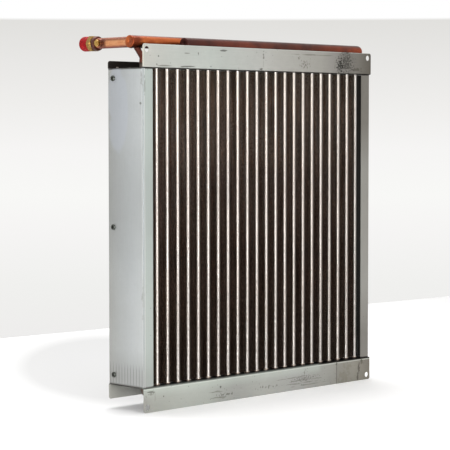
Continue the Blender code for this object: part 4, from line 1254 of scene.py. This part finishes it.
outline = np.array([(x, y, FLOOR_Z) for x, y in [(-14.0, -14.0), (14.0, -14.0)] + WALL_FOOT])
floor = bpy.data.objects.new("floor", new_mesh("floor", outline, [np.arange(len(outline))[None]]))
bpy.context.scene.collection.objects.link(floor)
paper = Finish("white floor", 0.0, 0.8)
oval = paper.add("ShaderNodeMapping", {"Vector": paper.place, **SHADE}, vector_type="TEXTURE")
shaded = paper.spread(paper.patch((0, 0, 0), (1, 1, 1), oval.outputs[0]), 0.02, 0.40)
paper.paint(paper.mix(shaded, linear("#F6F6F6"), linear("#BEBEBE")))
paper.set(Emission_Color=linear("#FFFFFF"),
          Emission_Strength=paper.times(paper.sees_background(), FLOOR_LIFT))
floor.data.materials.append(paper.material)

# %% Lamps and world
def add_lamp(name, location, target, size, power):
    """A white rectangle that shines on a target; the camera doesn't see the lamp itself."""
    data = bpy.data.lights.new(name, "AREA")
    data.shape = "RECTANGLE"
    data.size, data.size_y = size
    data.energy = power
    lamp = bpy.data.objects.new(name, data)
    lamp.location = location
    lamp.rotation_mode = "QUATERNION"
    lamp.rotation_quaternion = (Vector(target) - Vector(location)).to_track_quat("-Z", "Y")
    lamp.visible_camera = False
    bpy.context.scene.collection.objects.link(lamp)


add_lamp("front", (-0.75, -1.35, 0.36), (-0.15, 0.0, 0.30), (0.8, 0.74), 13)
add_lamp("side", (-1.65, -0.45, 0.40), (-0.3, 0.05, 0.30), (0.7, 0.80), 8)
add_lamp("overhead", (0.12, 0.55, 2.2), (0.0, 0.1, 0.0), (1.5, 1.5), 44)

WALL_TONES = [
    (-0.1180, "#EEEDEC"), (-0.0886, "#F0F0EE"), (-0.0549, "#F6F5F4"), (-0.0380, "#F8F8F6"),
    (-0.0126, "#F6F5F4"), (0.0127, "#EFEEEC"), (0.0380, "#E8E7E5"), (0.0604, "#E1E0DD"),
    (0.0605, "#FFFFFF"), (0.0700, "#FFFFFF"),
]
world = bpy.data.worlds.new("studio")
bpy.context.scene.world = world
world.use_nodes = True
world.node_tree.nodes.clear()
studio = Nodes(world.node_tree, "Generated")
soft = {"Color": linear("#F5F4F2"), "Strength": 0.5}
wall = {"Color": studio.graded("Z", WALL_TONES), "Strength": 1.0}
lights = [studio.add("ShaderNodeBackground", inputs).outputs[0] for inputs in (soft, wall)]
both = studio.add("ShaderNodeMixShader", {0: studio.sees_background(), 1: lights[0], 2: lights[1]})
studio.add("ShaderNodeOutputWorld", {0: both.outputs[0]})
bpy.context.scene.view_settings.view_transform = "Standard"
